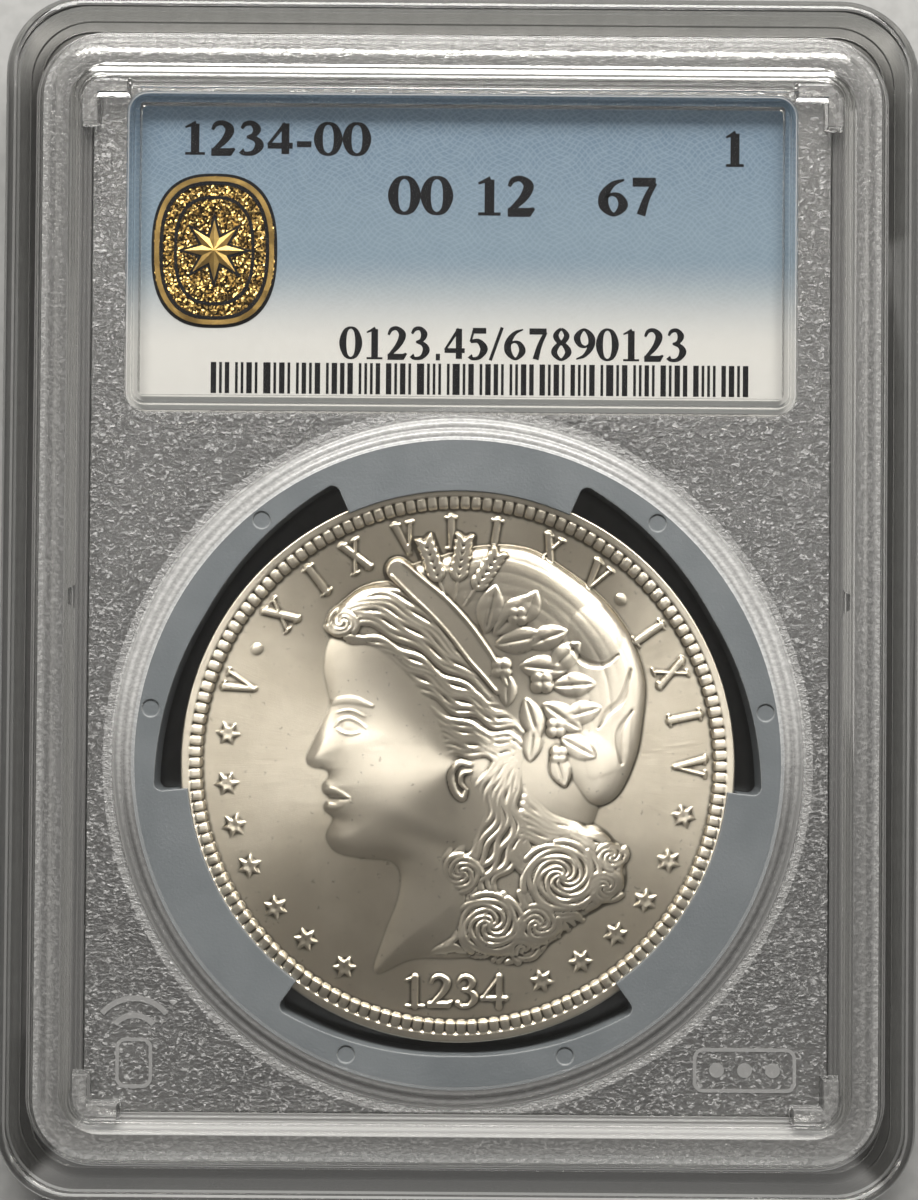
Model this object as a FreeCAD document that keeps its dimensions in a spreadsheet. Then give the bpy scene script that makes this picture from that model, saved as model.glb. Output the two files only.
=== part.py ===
"""Graded coin slab: two welded clear shells round a coin in its insert ring, with a label and a tag.

The slab lies on its back rim. +Z leaves the front, +Y runs towards the label, and the origin is the
centre of the back rim's plane. Both shells are made from the parting plane outwards, and the back
shell is turned over by its placement.
"""
import FreeCAD, Part
import math
import os

import Sketcher

SIZES = {
    # Outline and heights, from the parting plane outwards unless said otherwise.
    "slab_width": 63.0,
    "slab_length": 83.0,
    "slab_corner": 5.5,
    "parting_height": 3.8,
    "parting_gap": 0.04,
    "flange_top": 2.2,
    "flange_round": 0.8,
    "rim_top": 3.8,
    "ledge_top": 2.8,
    "field_top": 2.9,
    "window_top": 3.3,
    "lug_top": 4.16,
    # Stacking rim and the recess inside it.
    "rim_width": 57.0,
    "rim_length": 76.0,
    "rim_corner": 4.0,
    "rim_foot": 0.7,
    "recess_width": 53.6,
    "recess_length": 72.6,
    "recess_corner": 2.8,
    "recess_foot": 0.65,
    "field_width": 50.5,
    "field_length": 69.8,
    "field_corner": 1.6,
    # Polished windows.
    "lens_y": -11.1,
    "lens_radius": 21.95,
    "lens_foot": 1.7,
    "window_width": 44.5,
    "window_length": 20.6,
    "window_y": 23.6,
    "window_foot": 0.7,
    "window_corner": 0.8,
    # Hollow inside.
    "cavity_width": 55.8,
    "cavity_length": 75.4,
    "cavity_corner": 2.6,
    "ceiling": 1.6,
    "well_ceiling": 1.8,
    "well_radius": 22.3,
    "collar_radius": 23.1,
    "rib_inner_width": 44.3,
    "rib_inner_length": 20.1,
    "rib_wall": 0.8,
    "rib_gap": 0.37,
    # Weld: a tongue on the front shell in a groove of the back shell.
    "tongue_width": 59.8,
    "tongue_length": 79.8,
    "tongue_corner": 4.2,
    "tongue_wall": 0.7,
    "tongue_depth": 0.6,
    "weld_gap": 0.05,
    # Stacking lugs.
    "lug_edge_x": 25.95,
    "lug_edge_y": 35.4,
    "lug_arm": 3.3,
    "lug_wall": 1.3,
    "lug_round": 1.8,
    "lug_draft": 7.0,
    # Small notches: one at the foot of each side wall of the recess, and the scar of the moulding gate.
    "notch_reach": 26.55,
    "notch_foot": 0.95,
    "notch_head": 0.5,
    "scar_x": -0.28,
    "scar_half_width": 0.14,
    "scar_depth": 0.4,
    # Moulded marks.
    "mark_rise": 0.08,
    "wave_x": -21.8,
    "wave_y": -30.1,
    "wave_outer": 3.05,
    "wave_pitch": 1.15,
    "wave_band": 0.38,
    "wave_half_angle": 50.0,
    "tag_mark_width": 2.5,
    "tag_mark_length": 3.4,
    "tag_mark_y": -31.6,
    "plaque_x": 19.6,
    "plaque_y": -31.8,
    "plaque_width": 7.0,
    "plaque_length": 3.0,
    "mark_line": 0.24,
    "dot_radius": 0.5,
    "dot_pitch": 1.9,
    # Insert ring.
    "ring_radius": 22.2,
    "ring_thickness": 3.5,
    "ring_lip_radius": 18.55,
    "ring_pocket_radius": 19.3,
    "ring_pocket_thickness": 2.46,
    "gap_half_angle": 36.0,
    "gap_corner_radius": 20.85,
    "gap_tick_radius": 20.0,
    "gap_arc": 23.0,
    "gap_round": 0.55,
    "pin_mark_radius": 0.6,
    "pin_mark_reach": 21.3,
    "pin_mark_angle": 39.5,
    "pin_mark_depth": 0.1,
    # Coin.
    "coin_radius": 19.05,
    "coin_thickness": 2.4,
    "coin_field": 1.9,
    "coin_rim": 0.9,
    "coin_slope": 0.25,
    "coin_edge": 0.15,
    "coin_y": -11.3,
    # Label, its back card, the foils and the tag between the cards.
    "card_width": 45.1,
    "card_length": 20.9,
    "card_corner": 0.5,
    "card_y": 23.95,
    "card_thickness": 0.2,
    "card_front": 0.35,
    "emblem_width": 8.3,
    "emblem_length": 10.3,
    "emblem_corner": 4.1,
    "emblem_thickness": 0.08,
    "emblem_x": -17.1,
    "emblem_y": 24.0,
    "foil_gap": 0.005,
    "seal_side": 13.0,
    "seal_corner": 1.0,
    "seal_thickness": 0.05,
    "seal_x": 13.0,
    "film_width": 28.0,
    "film_length": 16.0,
    "film_thickness": 0.1,
    "film_corner": 1.0,
    "film_x": -4.0,
    "film_back": -0.12,
    "track_width": 0.4,
    "track_pitch": 0.8,
    "track_thickness": 0.03,
    "track_margin": 1.0,
    "chip_side": 1.4,
    "chip_thickness": 0.1,
}
TRACK_TURNS = 5
LIMITS_OF_NAME = 59

os.makedirs("parts", exist_ok=True)
doc = FreeCAD.newDocument("graded_coin_slab")
sheet = doc.addObject("Spreadsheet::Sheet", "Sizes")
for row, (alias, value) in enumerate(SIZES.items(), start=1):
    sheet.set(f"A{row}", alias)
    sheet.set(f"B{row}", str(value))
    sheet.setAlias(f"B{row}", alias)
doc.recompute()

UP = FreeCAD.Vector(0, 0, 1)
START, END, CENTRE = 1, 2, 3
ROOT, X_AXIS, Y_AXIS = -1, -1, -2
subparts = []


def number(expression):
    """The value of an expression over the sheet's cells."""
    return float(sheet.evalExpression(expression))


def new_body(label):
    body = doc.addObject("PartDesign::Body", label)
    body.Label = label
    subparts.append(body)
    return body


def origin_plane(body, role):
    return next(f for f in body.Origin.OriginFeatures if f.Role == role)


def new_sketch(body, name, level="0", plane="XY_Plane"):
    """A sketch on one of the body's own planes, raised by level along that plane's normal."""
    sketch = body.newObject("Sketcher::SketchObject", name)
    sketch.AttachmentSupport = [(origin_plane(body, plane), "")]
    sketch.MapMode = "FlatFace"
    sketch.setExpression("AttachmentOffset.Base.z", level)
    return sketch


def bind(sketch, kind, *arguments):
    """Adds a dimension and binds it to the expression that comes last."""
    expression = arguments[-1]
    index = sketch.addConstraint(Sketcher.Constraint(kind, *arguments[:-1], number(expression)))
    sketch.setExpression(f"Constraints[{index}]", expression)


def pin_point(sketch, geometry, point, x, y):
    """Holds a point at two expressions, measured from the sketch's own origin."""
    if x == "0":
        sketch.addConstraint(Sketcher.Constraint("PointOnObject", geometry, point, Y_AXIS))
    else:
        bind(sketch, "DistanceX", ROOT, START, geometry, point, x)
    if y == "0":
        sketch.addConstraint(Sketcher.Constraint("PointOnObject", geometry, point, X_AXIS))
    else:
        bind(sketch, "DistanceY", ROOT, START, geometry, point, y)


def add_circle(sketch, x, y, radius):
    centre = FreeCAD.Vector(number(x), number(y), 0)
    circle = sketch.addGeometry(Part.Circle(centre, UP, number(radius)))
    bind(sketch, "Radius", circle, radius)
    pin_point(sketch, circle, CENTRE, x, y)


def add_rectangle(sketch, width, length, radius, x="0", y="0"):
    """A rectangle with round corners, centred on x and y."""
    left, right = f"{x} - ({width}) / 2", f"{x} + ({width}) / 2"
    bottom, top = f"{y} - ({length}) / 2", f"{y} + ({length}) / 2"
    x0, x1, y0, y1, r = (number(e) for e in (left, right, bottom, top, radius))
    centres = ((x0 + r, y0 + r), (x1 - r, y0 + r), (x1 - r, y1 - r), (x0 + r, y1 - r))
    arcs = []
    for turn, (cx, cy) in enumerate(centres):
        start = math.pi + turn * math.pi / 2
        circle = Part.Circle(FreeCAD.Vector(cx, cy, 0), UP, r)
        arcs.append(sketch.addGeometry(Part.ArcOfCircle(circle, start, start + math.pi / 2)))
    ends = (
        ((x0 + r, y0), (x1 - r, y0)),
        ((x1, y0 + r), (x1, y1 - r)),
        ((x1 - r, y1), (x0 + r, y1)),
        ((x0, y1 - r), (x0, y0 + r)),
    )
    sides = []
    for start, end in ends:
        line = Part.LineSegment(FreeCAD.Vector(*start, 0), FreeCAD.Vector(*end, 0))
        sides.append(sketch.addGeometry(line))
    for k in range(4):
        sketch.addConstraint(Sketcher.Constraint("Tangent", arcs[k], END, sides[k], START))
        sketch.addConstraint(Sketcher.Constraint("Tangent", sides[k], END, arcs[(k + 1) % 4], START))
        direction = "Horizontal" if k % 2 == 0 else "Vertical"
        sketch.addConstraint(Sketcher.Constraint(direction, sides[k]))
    for arc in arcs[1:]:
        sketch.addConstraint(Sketcher.Constraint("Equal", arcs[0], arc))
    bind(sketch, "Radius", arcs[0], radius)
    bind(sketch, "DistanceY", ROOT, START, sides[0], START, bottom)
    bind(sketch, "DistanceX", ROOT, START, sides[1], START, right)
    bind(sketch, "DistanceY", ROOT, START, sides[2], START, top)
    bind(sketch, "DistanceX", ROOT, START, sides[3], START, left)


def add_outline(sketch, points, arcs=None):
    """A closed outline through pairs of expressions, anticlockwise.

    arcs gives the radius of each side that bulges outwards, by the number of the point it starts from.
    """
    arcs = arcs or {}
    places = [FreeCAD.Vector(number(x), number(y), 0) for x, y in points]
    sides = []
    for k, start in enumerate(places):
        end = places[(k + 1) % len(places)]
        if k not in arcs:
            sides.append(sketch.addGeometry(Part.LineSegment(start, end)))
            continue
        chord, radius = end - start, number(arcs[k])
        sagitta = radius - math.sqrt(radius ** 2 - (chord.Length / 2) ** 2)
        outward = FreeCAD.Vector(chord.y, -chord.x, 0).normalize()
        sides.append(sketch.addGeometry(Part.Arc(start, (start + end) / 2 + outward * sagitta, end)))
        bind(sketch, "Radius", sides[-1], arcs[k])
    for k, side in enumerate(sides):
        sketch.addConstraint(Sketcher.Constraint("Coincident", sides[k - 1], END, side, START))
        pin_point(sketch, side, START, *points[k])


def add_band(sketch, x, y, inner, outer, half_angle):
    """A band between two arcs about one centre, open downwards, with radial ends."""
    cx, cy, half = number(x), number(y), math.radians(number(half_angle))
    first, last = math.pi / 2 - half, math.pi / 2 + half
    centre = FreeCAD.Vector(cx, cy, 0)
    arcs = []
    for radius in (inner, outer):
        circle = Part.Circle(centre, UP, number(radius))
        arcs.append(sketch.addGeometry(Part.ArcOfCircle(circle, first, last)))
        bind(sketch, "Radius", arcs[-1], radius)
    pin_point(sketch, arcs[0], CENTRE, x, y)
    sketch.addConstraint(Sketcher.Constraint("Coincident", arcs[0], CENTRE, arcs[1], CENTRE))
    for side, point in ((1, START), (-1, END)):
        direction = FreeCAD.Vector(side * math.sin(half), math.cos(half), 0)
        line = Part.LineSegment(centre + direction * number(inner), centre + direction * number(outer))
        end = sketch.addGeometry(line)
        sketch.addConstraint(Sketcher.Constraint("Coincident", end, START, arcs[0], point))
        sketch.addConstraint(Sketcher.Constraint("Coincident", end, END, arcs[1], point))
        sketch.addConstraint(Sketcher.Constraint("PointOnObject", arcs[0], CENTRE, end))
        bind(sketch, "DistanceX", ROOT, START, end, END, f"{x} + {side} * ({outer}) * sin({half_angle})")


def pad(body, sketch, name, length, taper=None, reverse=False):
    feature = body.newObject("PartDesign::Pad", name)
    feature.Profile = sketch
    feature.Reversed = reverse
    feature.setExpression("Length", length)
    if taper:
        feature.setExpression("TaperAngle", taper)
    return feature


def pocket(body, sketch, name, length, taper=None, reverse=False):
    feature = body.newObject("PartDesign::Pocket", name)
    feature.Profile = sketch
    feature.Reversed = reverse
    feature.setExpression("Length", length)
    if taper:
        feature.setExpression("TaperAngle", taper)
    return feature


def round_edges(body, base, name, radius, chosen):
    """Rounds the edges of base that chosen picks out."""
    doc.recompute()
    edges = [f"Edge{k}" for k, edge in enumerate(base.Shape.Edges, start=1) if chosen(edge)]
    if not edges:
        raise RuntimeError(f"{name} found no edge")
    feature = body.newObject("PartDesign::Fillet", name)
    feature.Base = (base, edges)
    feature.setExpression("Radius", radius)
    return feature


def level_with(value, level, room=1e-4):
    return abs(value - level) < room


def shell_outside(body):
    """Flange, rim, recess, grained field and both windows."""
    sketch = new_sketch(body, "flange_outline")
    add_rectangle(sketch, "Sizes.slab_width", "Sizes.slab_length", "Sizes.slab_corner")
    flange = pad(body, sketch, "flange", "Sizes.flange_top")
    top = number("Sizes.flange_top")
    round_edges(
        body, flange, "flange_round", "Sizes.flange_round",
        lambda e: level_with(e.BoundBox.ZMin, top),
    )

    sketch = new_sketch(body, "rim_outline", "Sizes.flange_top")
    add_rectangle(
        sketch, "Sizes.rim_width + 2 * Sizes.rim_foot", "Sizes.rim_length + 2 * Sizes.rim_foot",
        "Sizes.rim_corner + Sizes.rim_foot",
    )
    rise = "(Sizes.rim_top - Sizes.flange_top)"
    pad(body, sketch, "rim", rise, f"-atan(Sizes.rim_foot / {rise})")

    sketch = new_sketch(body, "recess_outline", "Sizes.rim_top")
    add_rectangle(sketch, "Sizes.recess_width", "Sizes.recess_length", "Sizes.recess_corner")
    depth = "(Sizes.rim_top - Sizes.ledge_top)"
    pocket(body, sketch, "recess", depth, f"-atan(Sizes.recess_foot / {depth})")

    sketch = new_sketch(body, "field_outline", "Sizes.ledge_top")
    add_rectangle(sketch, "Sizes.field_width", "Sizes.field_length", "Sizes.field_corner")
    pad(body, sketch, "field", "Sizes.field_top - Sizes.ledge_top", "-45")

    rise = "(Sizes.window_top - Sizes.field_top)"
    sketch = new_sketch(body, "label_window_outline", "Sizes.field_top")
    add_rectangle(
        sketch, "Sizes.window_width + 2 * Sizes.window_foot",
        "Sizes.window_length + 2 * Sizes.window_foot",
        "Sizes.window_corner + Sizes.window_foot", y="Sizes.window_y",
    )
    pad(body, sketch, "label_window", rise, f"-atan(Sizes.window_foot / {rise})")

    sketch = new_sketch(body, "lens_outline", "Sizes.field_top")
    add_circle(sketch, "0", "Sizes.lens_y", "Sizes.lens_radius + Sizes.lens_foot")
    pad(body, sketch, "lens", rise, f"-atan(Sizes.lens_foot / {rise})")


def shell_inside(body):
    """Cavity, the coin's well with its collar, and the rib that holds the label's edge."""
    sketch = new_sketch(body, "cavity_outline")
    add_rectangle(sketch, "Sizes.cavity_width", "Sizes.cavity_length", "Sizes.cavity_corner")
    pocket(body, sketch, "cavity", "Sizes.ceiling", reverse=True)

    sketch = new_sketch(body, "collar_outline")
    add_circle(sketch, "0", "Sizes.lens_y", "Sizes.collar_radius")
    add_circle(sketch, "0", "Sizes.lens_y", "Sizes.well_radius")
    pad(body, sketch, "collar", "Sizes.ceiling")

    sketch = new_sketch(body, "label_rib_outline", "Sizes.rib_gap")
    for wall, corner in (("0", "0.3"), ("2 * Sizes.rib_wall", "0.3 + Sizes.rib_wall")):
        add_rectangle(
            sketch, f"Sizes.rib_inner_width + {wall}", f"Sizes.rib_inner_length + {wall}",
            corner, y="Sizes.card_y",
        )
    pad(body, sketch, "label_rib", "Sizes.ceiling - Sizes.rib_gap")

    sketch = new_sketch(body, "well_outline")
    add_circle(sketch, "0", "Sizes.lens_y", "Sizes.well_radius")
    pocket(body, sketch, "well", "Sizes.well_ceiling", reverse=True)


def weld_outline(body, name, room):
    """The tongue's ring, widened by room on each side."""
    sketch = new_sketch(body, name)
    for sign, wall in (("+", f"({room})"), ("-", f"(Sizes.tongue_wall + {room})")):
        add_rectangle(
            sketch, f"Sizes.tongue_width {sign} 2 * {wall}", f"Sizes.tongue_length {sign} 2 * {wall}",
            f"Sizes.tongue_corner {sign} {wall}",
        )
    return sketch


def lug_outline(sketch, sign):
    """An L with a round outer corner, in the right-hand corner of the end that sign gives."""
    x, y = "Sizes.lug_edge_x", "Sizes.lug_edge_y"
    arm, wall, corner = "Sizes.lug_arm", "Sizes.lug_wall", "Sizes.lug_round"
    outline = [
        (x, f"({y} - {arm})"),
        (x, f"({y} - {corner})"),
        (f"{x} - {corner}", y),
        (f"{x} - {arm}", y),
        (f"{x} - {arm}", f"({y} - {wall})"),
        (f"{x} - {wall}", f"({y} - {wall})"),
        (f"{x} - {wall}", f"({y} - {arm})"),
    ]
    first_of_arc = 1
    if sign < 0:
        outline = [(px, f"-{py}") for px, py in reversed(outline)]
        first_of_arc = len(outline) - 1 - 2
    add_outline(sketch, outline, {first_of_arc: corner})


def stacking_lugs(body):
    """An L-shaped lug in each corner of the recess, drawn once for each end and mirrored across."""
    for end, sign in (("top", 1), ("bottom", -1)):
        sketch = new_sketch(body, f"{end}_lug_outline", "Sizes.ledge_top")
        lug_outline(sketch, sign)
        lug = pad(body, sketch, f"{end}_lug", "Sizes.lug_top - Sizes.ledge_top", "-Sizes.lug_draft")
        mirror = body.newObject("PartDesign::Mirrored", f"{end}_lug_pair")
        mirror.Originals = [lug]
        mirror.MirrorPlane = (origin_plane(body, "YZ_Plane"), [""])
        body.Tip = mirror


def side_notches(body):
    """A shallow notch at mid-height in both side walls of the recess."""
    inner = "(Sizes.recess_width / 2 - Sizes.recess_foot - 0.1)"
    outline = (
        (inner, "-Sizes.notch_foot"),
        ("Sizes.notch_reach", "-Sizes.notch_head"),
        ("Sizes.notch_reach", "Sizes.notch_head"),
        (inner, "Sizes.notch_foot"),
    )
    sketch = new_sketch(body, "notch_outline", "Sizes.rim_top")
    add_outline(sketch, outline)
    notch = pocket(body, sketch, "notch", "Sizes.rim_top - Sizes.ledge_top")
    mirror = body.newObject("PartDesign::Mirrored", "notch_pair")
    mirror.Originals = [notch]
    mirror.MirrorPlane = (origin_plane(body, "YZ_Plane"), [""])
    body.Tip = mirror


def gate_scar(body, side):
    """The moulding gate's trace in the flange's bottom edge. side is -1 on the shell that is turned over."""
    edge = "-Sizes.slab_length / 2"
    centre = f"({side}) * Sizes.scar_x"
    outline = (
        (f"{centre} - Sizes.scar_half_width", f"{edge} - 0.1"),
        (f"{centre} + Sizes.scar_half_width", f"{edge} - 0.1"),
        (centre, f"{edge} + Sizes.scar_depth"),
    )
    sketch = new_sketch(body, "scar_outline")
    add_outline(sketch, outline)
    pocket(body, sketch, "scar", "Sizes.flange_top", reverse=True)


def moulded_marks(body):
    """Plain raised marks: two radio arcs over a tag in one lower corner, framed dots in the other."""
    rise = "Sizes.mark_rise"
    sketch = new_sketch(body, "wave_outline", "Sizes.field_top")
    for step in range(2):
        outer = f"(Sizes.wave_outer - {step} * Sizes.wave_pitch)"
        inner = f"{outer} - Sizes.wave_band"
        add_band(sketch, "Sizes.wave_x", "Sizes.wave_y", inner, outer, "Sizes.wave_half_angle")
    pad(body, sketch, "wave_mark", rise)

    sketch = new_sketch(body, "frame_outline", "Sizes.field_top")
    frames = (
        ("Sizes.wave_x", "Sizes.tag_mark_y", "Sizes.tag_mark_width", "Sizes.tag_mark_length"),
        ("Sizes.plaque_x", "Sizes.plaque_y", "Sizes.plaque_width", "Sizes.plaque_length"),
    )
    for x, y, width, length in frames:
        for inset, corner in (("0", "0.7"), ("2 * Sizes.mark_line", "0.7 - Sizes.mark_line")):
            add_rectangle(sketch, f"{width} - {inset}", f"{length} - {inset}", corner, x, y)
    for step in (-1, 0, 1):
        add_circle(
            sketch, f"Sizes.plaque_x + {step} * Sizes.dot_pitch", "Sizes.plaque_y", "Sizes.dot_radius"
        )
    pad(body, sketch, "frame_mark", rise)


def make_front_shell():
    body = new_body("front_shell")
    shell_outside(body)
    stacking_lugs(body)
    side_notches(body)
    moulded_marks(body)
    gate_scar(body, 1)
    shell_inside(body)
    pad(body, weld_outline(body, "tongue_outline", "0"), "tongue", "Sizes.tongue_depth", reverse=True)
    body.setExpression("Placement.Base.z", "Sizes.parting_height + Sizes.parting_gap")


def make_back_shell():
    body = new_body("back_shell")
    shell_outside(body)
    gate_scar(body, -1)
    shell_inside(body)
    sketch = weld_outline(body, "groove_outline", "Sizes.weld_gap")
    pocket(body, sketch, "groove", "Sizes.tongue_depth + Sizes.weld_gap", reverse=True)
    body.Placement.Rotation = FreeCAD.Rotation(FreeCAD.Vector(0, 1, 0), 180)
    body.setExpression("Placement.Base.z", "Sizes.parting_height")


def ring_gap_outline(sketch):
    """One window of the ring: two arcs that meet in a tick, radial ends, open towards the coin."""
    reach, half = "Sizes.gap_corner_radius", "Sizes.gap_half_angle"
    inner = "(Sizes.ring_lip_radius - 1)"
    outline = (
        (f"{inner} * sin({half})", f"{inner} * cos({half})"),
        (f"{reach} * sin({half})", f"{reach} * cos({half})"),
        ("0", "Sizes.gap_tick_radius"),
        (f"-{reach} * sin({half})", f"{reach} * cos({half})"),
        (f"-{inner} * sin({half})", f"{inner} * cos({half})"),
    )
    add_outline(sketch, outline, {1: "Sizes.gap_arc", 2: "Sizes.gap_arc"})


def make_insert_ring():
    """Ring with three prongs over the coin's rim. It is turned so that one prong points to the label."""
    body = new_body("insert_ring")
    half = "Sizes.ring_thickness / 2"
    sketch = new_sketch(body, "ring_outline", f"-{half}")
    add_circle(sketch, "0", "0", "Sizes.ring_radius")
    add_circle(sketch, "0", "0", "Sizes.ring_lip_radius")
    pad(body, sketch, "ring", "Sizes.ring_thickness")

    sketch = new_sketch(body, "coin_pocket_outline", "-Sizes.ring_pocket_thickness / 2")
    add_circle(sketch, "0", "0", "Sizes.ring_pocket_radius")
    pocket(body, sketch, "coin_pocket", "Sizes.ring_pocket_thickness", reverse=True)

    sketch = new_sketch(body, "gap_outline", f"-{half}")
    ring_gap_outline(sketch)
    gap = pocket(body, sketch, "gap", "Sizes.ring_thickness", reverse=True)
    doc.recompute()
    corner, low = number("Sizes.gap_corner_radius"), -number(half)

    def gap_corner(edge):
        box = edge.BoundBox
        return (abs(math.hypot(box.Center.x, box.Center.y) - corner) < 1e-3
                and level_with(box.ZMin, low) and box.ZLength > 1)

    pattern = body.newObject("PartDesign::PolarPattern", "gaps")
    pattern.Originals = [gap]
    pattern.Axis = (next(f for f in body.Origin.OriginFeatures if f.Role == "Z_Axis"), [""])
    pattern.Angle = 360
    pattern.Occurrences = 3
    body.Tip = pattern
    round_edges(body, pattern, "gap_round", "Sizes.gap_round", gap_corner)

    sketch = new_sketch(body, "pin_mark_outline", half)
    for turn in range(3):
        for side in (-1, 1):
            angle = f"({30 + 120 * turn} + {side} * Sizes.pin_mark_angle)"
            reach = "Sizes.pin_mark_reach"
            x, y = f"{reach} * cos({angle})", f"{reach} * sin({angle})"
            add_circle(sketch, x, y, "Sizes.pin_mark_radius")
    pocket(body, sketch, "pin_marks", "Sizes.pin_mark_depth")
    body.Placement.Rotation = FreeCAD.Rotation(UP, 180)
    body.setExpression("Placement.Base.y", "Sizes.lens_y")
    body.setExpression("Placement.Base.z", "Sizes.parting_height")


def make_coin():
    """Struck disc: sunk fields inside a raised rim, on both sides."""
    body = new_body("coin")
    sketch = new_sketch(body, "coin_section", plane="XZ_Plane")
    radius, rim = "Sizes.coin_radius", "Sizes.coin_thickness / 2"
    field, edge = "Sizes.coin_field / 2", "Sizes.coin_edge"
    foot = f"{radius} - Sizes.coin_rim - Sizes.coin_slope"
    section = [
        ("0", f"-{field}"),
        (foot, f"-{field}"),
        (f"{radius} - Sizes.coin_rim", f"-{rim}"),
        (f"{radius} - {edge}", f"-{rim}"),
        (radius, f"-{rim} + {edge}"),
        (radius, f"{rim} - {edge}"),
        (f"{radius} - {edge}", rim),
        (f"{radius} - Sizes.coin_rim", rim),
        (foot, field),
        ("0", field),
    ]
    add_outline(sketch, section)
    feature = body.newObject("PartDesign::Revolution", "struck_disc")
    feature.Profile = sketch
    feature.ReferenceAxis = (sketch, ["V_Axis"])
    feature.Angle = 360
    body.setExpression("Placement.Base.y", "Sizes.coin_y")
    body.setExpression("Placement.Base.z", "Sizes.parting_height")


def make_sheet(label, width, length, corner, thickness, x, y, level):
    """A flat card or foil whose underside is at level above the parting plane."""
    body = new_body(label)
    sketch = new_sketch(body, f"{label}_outline")
    add_rectangle(sketch, width, length, corner)
    pad(body, sketch, f"{label}_sheet", thickness)
    body.setExpression("Placement.Base.x", x)
    body.setExpression("Placement.Base.y", y)
    body.setExpression("Placement.Base.z", f"Sizes.parting_height + {level}")


def make_label():
    card = ("Sizes.card_width", "Sizes.card_length", "Sizes.card_corner", "Sizes.card_thickness")
    make_sheet("label_card", *card, "0", "Sizes.card_y", "Sizes.card_front - Sizes.card_thickness")
    make_sheet("label_back", *card, "0", "Sizes.card_y", "-Sizes.card_front")
    make_sheet(
        "label_emblem", "Sizes.emblem_width", "Sizes.emblem_length", "Sizes.emblem_corner",
        "Sizes.emblem_thickness", "Sizes.emblem_x", "Sizes.emblem_y",
        "Sizes.card_front + Sizes.foil_gap",
    )
    make_sheet(
        "security_seal", "Sizes.seal_side", "Sizes.seal_side", "Sizes.seal_corner",
        "Sizes.seal_thickness", "Sizes.seal_x", "Sizes.card_y",
        "-Sizes.card_front - Sizes.foil_gap - Sizes.seal_thickness",
    )
    make_sheet(
        "tag_film", "Sizes.film_width", "Sizes.film_length", "Sizes.film_corner",
        "Sizes.film_thickness", "Sizes.film_x", "Sizes.card_y", "Sizes.film_back",
    )


def make_tag_antenna():
    """Square spiral of straight tracks on the film, each track a box, joined into one solid."""
    width, pitch, thickness = "Sizes.track_width", "Sizes.track_pitch", "Sizes.track_thickness"
    level = "Sizes.parting_height + Sizes.film_back + Sizes.film_thickness"
    tracks = []
    for turn in range(TRACK_TURNS):
        half_x = f"(Sizes.film_width / 2 - Sizes.track_margin - {turn} * {pitch})"
        half_y = f"(Sizes.film_length / 2 - Sizes.track_margin - {turn} * {pitch})"
        sides = (
            (f"-{half_x}", f"-{half_y}", f"2 * {half_x}", width),
            (f"{half_x} - {width}", f"-{half_y}", width, f"2 * {half_y}"),
            (f"-{half_x} + {pitch}", f"{half_y} - {width}", f"2 * {half_x} - {pitch}", width),
            (f"-{half_x} + {pitch}", f"-{half_y} + {pitch}", width, f"2 * {half_y} - {pitch}"),
        )
        for side, (x, y, length_x, length_y) in enumerate(sides):
            box = doc.addObject("Part::Box", f"track_{turn}_{side}")
            box.setExpression("Placement.Base.x", f"Sizes.film_x + {x}")
            box.setExpression("Placement.Base.y", f"Sizes.card_y + {y}")
            box.setExpression("Placement.Base.z", level)
            box.setExpression("Length", length_x)
            box.setExpression("Width", length_y)
            box.setExpression("Height", thickness)
            tracks.append(box)
    antenna = doc.addObject("Part::MultiFuse", "tag_antenna")
    antenna.Label = "tag_antenna"
    antenna.Shapes = tracks
    antenna.Refine = True
    subparts.append(antenna)


def make_tag_chip():
    """The chip lies on the inner end of the coil."""
    last = TRACK_TURNS - 1
    inset = f"(Sizes.track_margin + {last} * Sizes.track_pitch)"
    left = "Sizes.film_x - Sizes.film_width / 2"
    top = "Sizes.card_y + Sizes.film_length / 2"
    chip = doc.addObject("Part::Box", "tag_chip")
    chip.Label = "tag_chip"
    chip.setExpression("Length", "Sizes.chip_side")
    chip.setExpression("Width", "Sizes.chip_side")
    chip.setExpression("Height", "Sizes.chip_thickness")
    chip.setExpression("Placement.Base.x", f"{left} + {inset} + Sizes.track_pitch")
    chip.setExpression("Placement.Base.y", f"{top} - {inset} - Sizes.chip_side")
    chip.setExpression(
        "Placement.Base.z",
        "Sizes.parting_height + Sizes.film_back + Sizes.film_thickness + Sizes.track_thickness",
    )
    subparts.append(chip)


make_front_shell()
make_back_shell()
make_insert_ring()
make_coin()
make_label()
make_tag_antenna()
make_tag_chip()
doc.recompute()

for thing in doc.Objects:
    if "Invalid" in thing.State or "Error" in thing.State:
        raise RuntimeError(f"{thing.Name} failed: {thing.State}")
for part in subparts:
    shape = part.Shape
    if shape.isNull() or not shape.isValid() or not shape.Solids:
        raise RuntimeError(f"{part.Label} has no valid solid")
    if len(part.Label) > LIMITS_OF_NAME:
        raise RuntimeError(f"{part.Label} is too long a name")
    shape.exportStep(f"parts/{part.Label}.step")
    box = shape.BoundBox
    print(f"{part.Label}: {len(shape.Solids)} solid, {shape.Volume:.2f} mm3, "
          f"x {box.XMin:.2f} {box.XMax:.2f}, y {box.YMin:.2f} {box.YMax:.2f}, "
          f"z {box.ZMin:.3f} {box.ZMax:.3f}")
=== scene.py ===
"""Graded coin slab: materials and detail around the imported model. Metres, Z up."""
import math

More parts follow.
